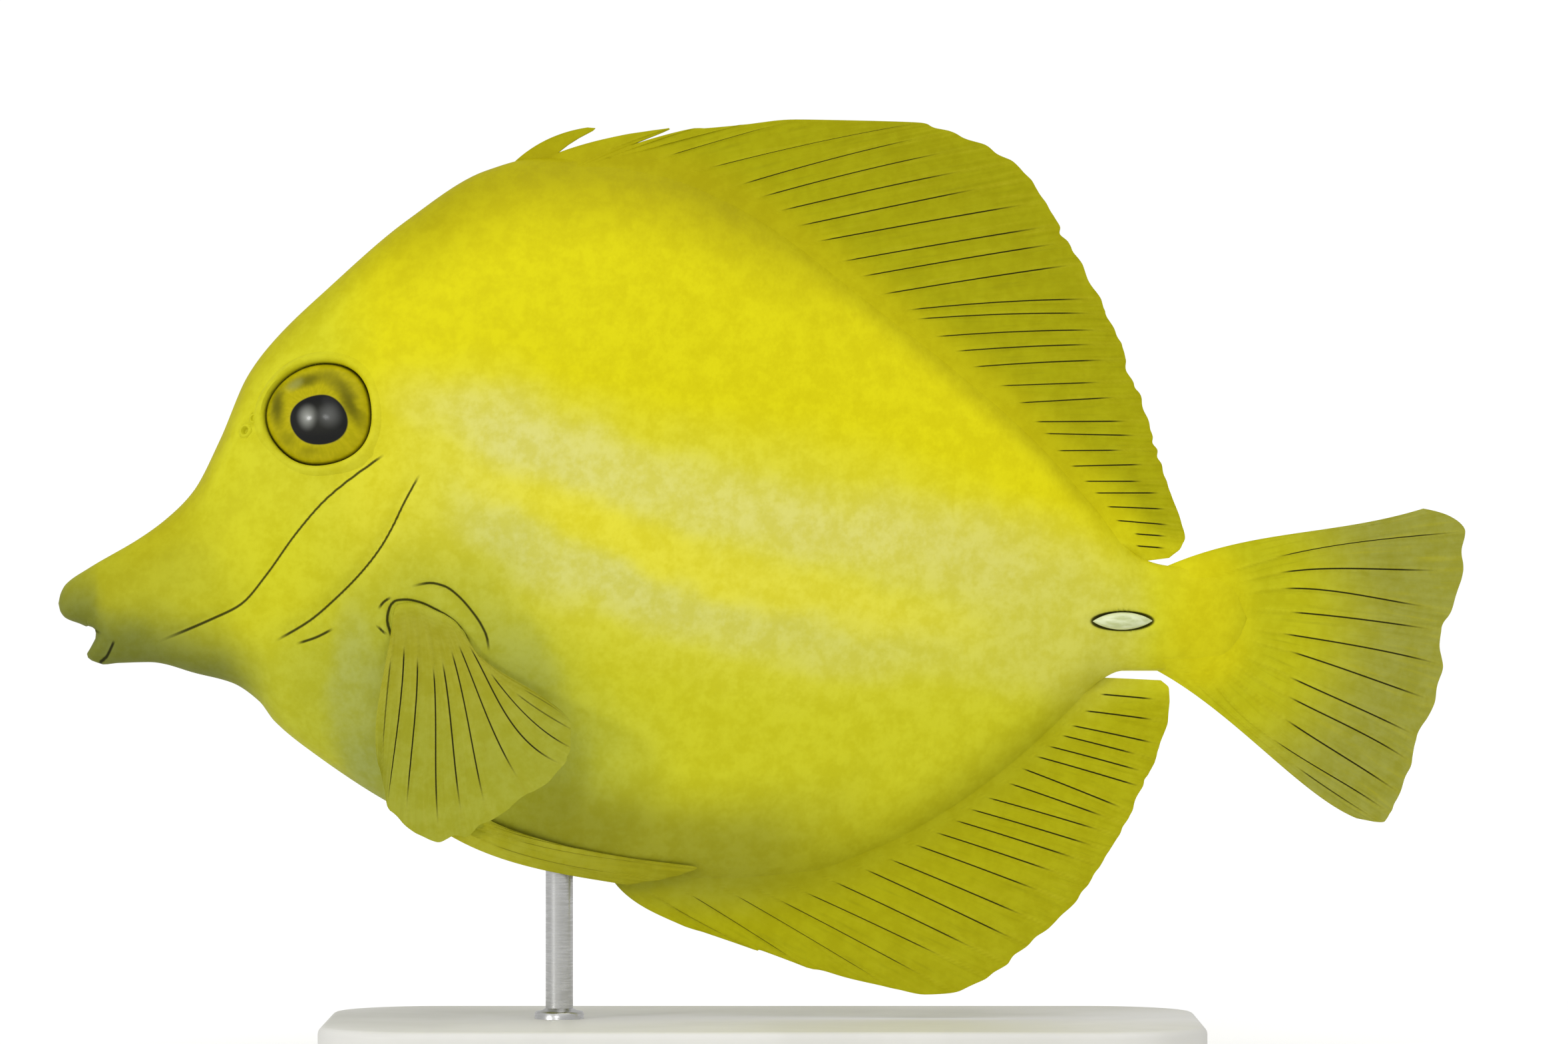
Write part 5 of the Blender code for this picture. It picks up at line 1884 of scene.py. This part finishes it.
@dataclass
class Studio:
    """Pale floor, soft light and the camera."""

    floor_size: float = 60.0
    floor_colour: Colour = (0.9, 0.9, 0.9, 1.0)
    floor_glow: float = 0.3
    sky: float = 0.64
    lens: float = 200.0
    sensor: float = 36.0
    suns: tuple[tuple[float, float, float, float], ...] = (
        (-48.0, 15.0, 0.55, 9.0), (-12.0, 21.0, 0.22, 11.0), (20.0, 65.0, 0.6, 60.0))

    def floor(self) -> None:
        """A wide plain floor under the stand."""
        bm = bmesh.new()
        bmesh.ops.create_grid(bm, x_segments=1, y_segments=1, size=self.floor_size / 2)
        mesh = to_mesh(bm, "floor")
        material, graph, shader = new_material("floor", Roughness=0.9, Specular_IOR_Level=0.1,
                                               Emission_Color=(1, 1, 1, 1))
        seen = graph.add("ShaderNodeLightPath").outputs["Is Camera Ray"]
        graph.feed(shader.inputs["Emission Strength"],
                   graph.maths("MULTIPLY", seen, self.floor_glow))
        cloud = graph.noise(graph.position(), 3.0, 2.0)
        graph.feed(shader.inputs["Base Color"],
                   graph.blend(cloud, self.floor_colour, (0.89, 0.89, 0.89, 1.0)))
        mesh.materials.append(material)
        floor = bpy.data.objects.new("floor", mesh)
        bpy.context.scene.collection.objects.link(floor)

    def sky_light(self) -> None:
        """An even sky that lights softly and looks white behind the fish."""
        world = bpy.data.worlds.new("studio")
        bpy.context.scene.world = world
        world.use_nodes = True
        graph = Graph(world.node_tree)
        sky = world.node_tree.nodes["Background"]
        sky.inputs["Color"].default_value = (1, 1, 1, 1)
        seen = graph.add("ShaderNodeLightPath").outputs["Is Camera Ray"]
        graph.feed(sky.inputs["Strength"], graph.maths("MULTIPLY_ADD", seen, 1.05 - self.sky,
                                                       self.sky))

    def lamps(self) -> None:
        """Soft suns, each by azimuth, height, strength and angle."""
        for number, (azimuth, height, strength, angle) in enumerate(self.suns):
            data = bpy.data.lights.new(f"soft_light_{number}", "SUN")
            data.energy = strength
            data.angle = math.radians(angle)
            lamp = bpy.data.objects.new(data.name, data)
            turn, rise = math.radians(azimuth), math.radians(height)
            back = Vector((math.sin(turn) * math.cos(rise), -math.cos(turn) * math.cos(rise),
                           math.sin(rise)))
            lamp.rotation_euler = (-back).to_track_quat("-Z", "Y").to_euler()
            lamp.location = back
            bpy.context.scene.collection.objects.link(lamp)

    def camera(self) -> None:
        """A level camera with a long lens, framed on the whole fish."""
        data = bpy.data.cameras.new("camera")
        data.lens = self.lens
        data.sensor_width = self.sensor
        data.clip_start, data.clip_end = 0.05, 100.0
        camera = bpy.data.objects.new("camera", data)
        camera.location = place(VIEW_CENTRE[0], -VIEW_DISTANCE, VIEW_CENTRE[1]).tolist()
        camera.rotation_euler = (math.pi / 2, 0, 0)
        bpy.context.scene.collection.objects.link(camera)
        bpy.context.scene.camera = camera

    def build(self) -> None:
        """Set the stage round the fish."""
        self.floor()
        self.sky_light()
        self.lamps()
        self.camera()
        bpy.context.scene.view_settings.view_transform = "Standard"
        LOG.info("studio")


def write_sizes() -> None:
    """Bring the view layer up to date."""
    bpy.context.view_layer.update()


def main() -> None:
    """Build the fish, its stand and the studio."""
    logging.basicConfig(level=logging.INFO, format="%(name)s: %(message)s")
    tones = SkinTone()
    tone = tones.group()
    skin = SkinFinish().material(tone)
    piece = Skin().build(skin)
    LOG.info("skin, %d faces", len(piece.data.polygons))
    eye, bone = EyeFinish().material(tones.patch_group()), BoneFinish().material()
    for side in Side:
        EyeParts(side).build(eye, skin)
        Scalpel(side).build(bone)
    Fins().build(tone)
    Stand().build(PaintFinish().material(), SteelFinish().material())
    Studio().build()
    write_sizes()


if __name__ == "__main__":
    main()
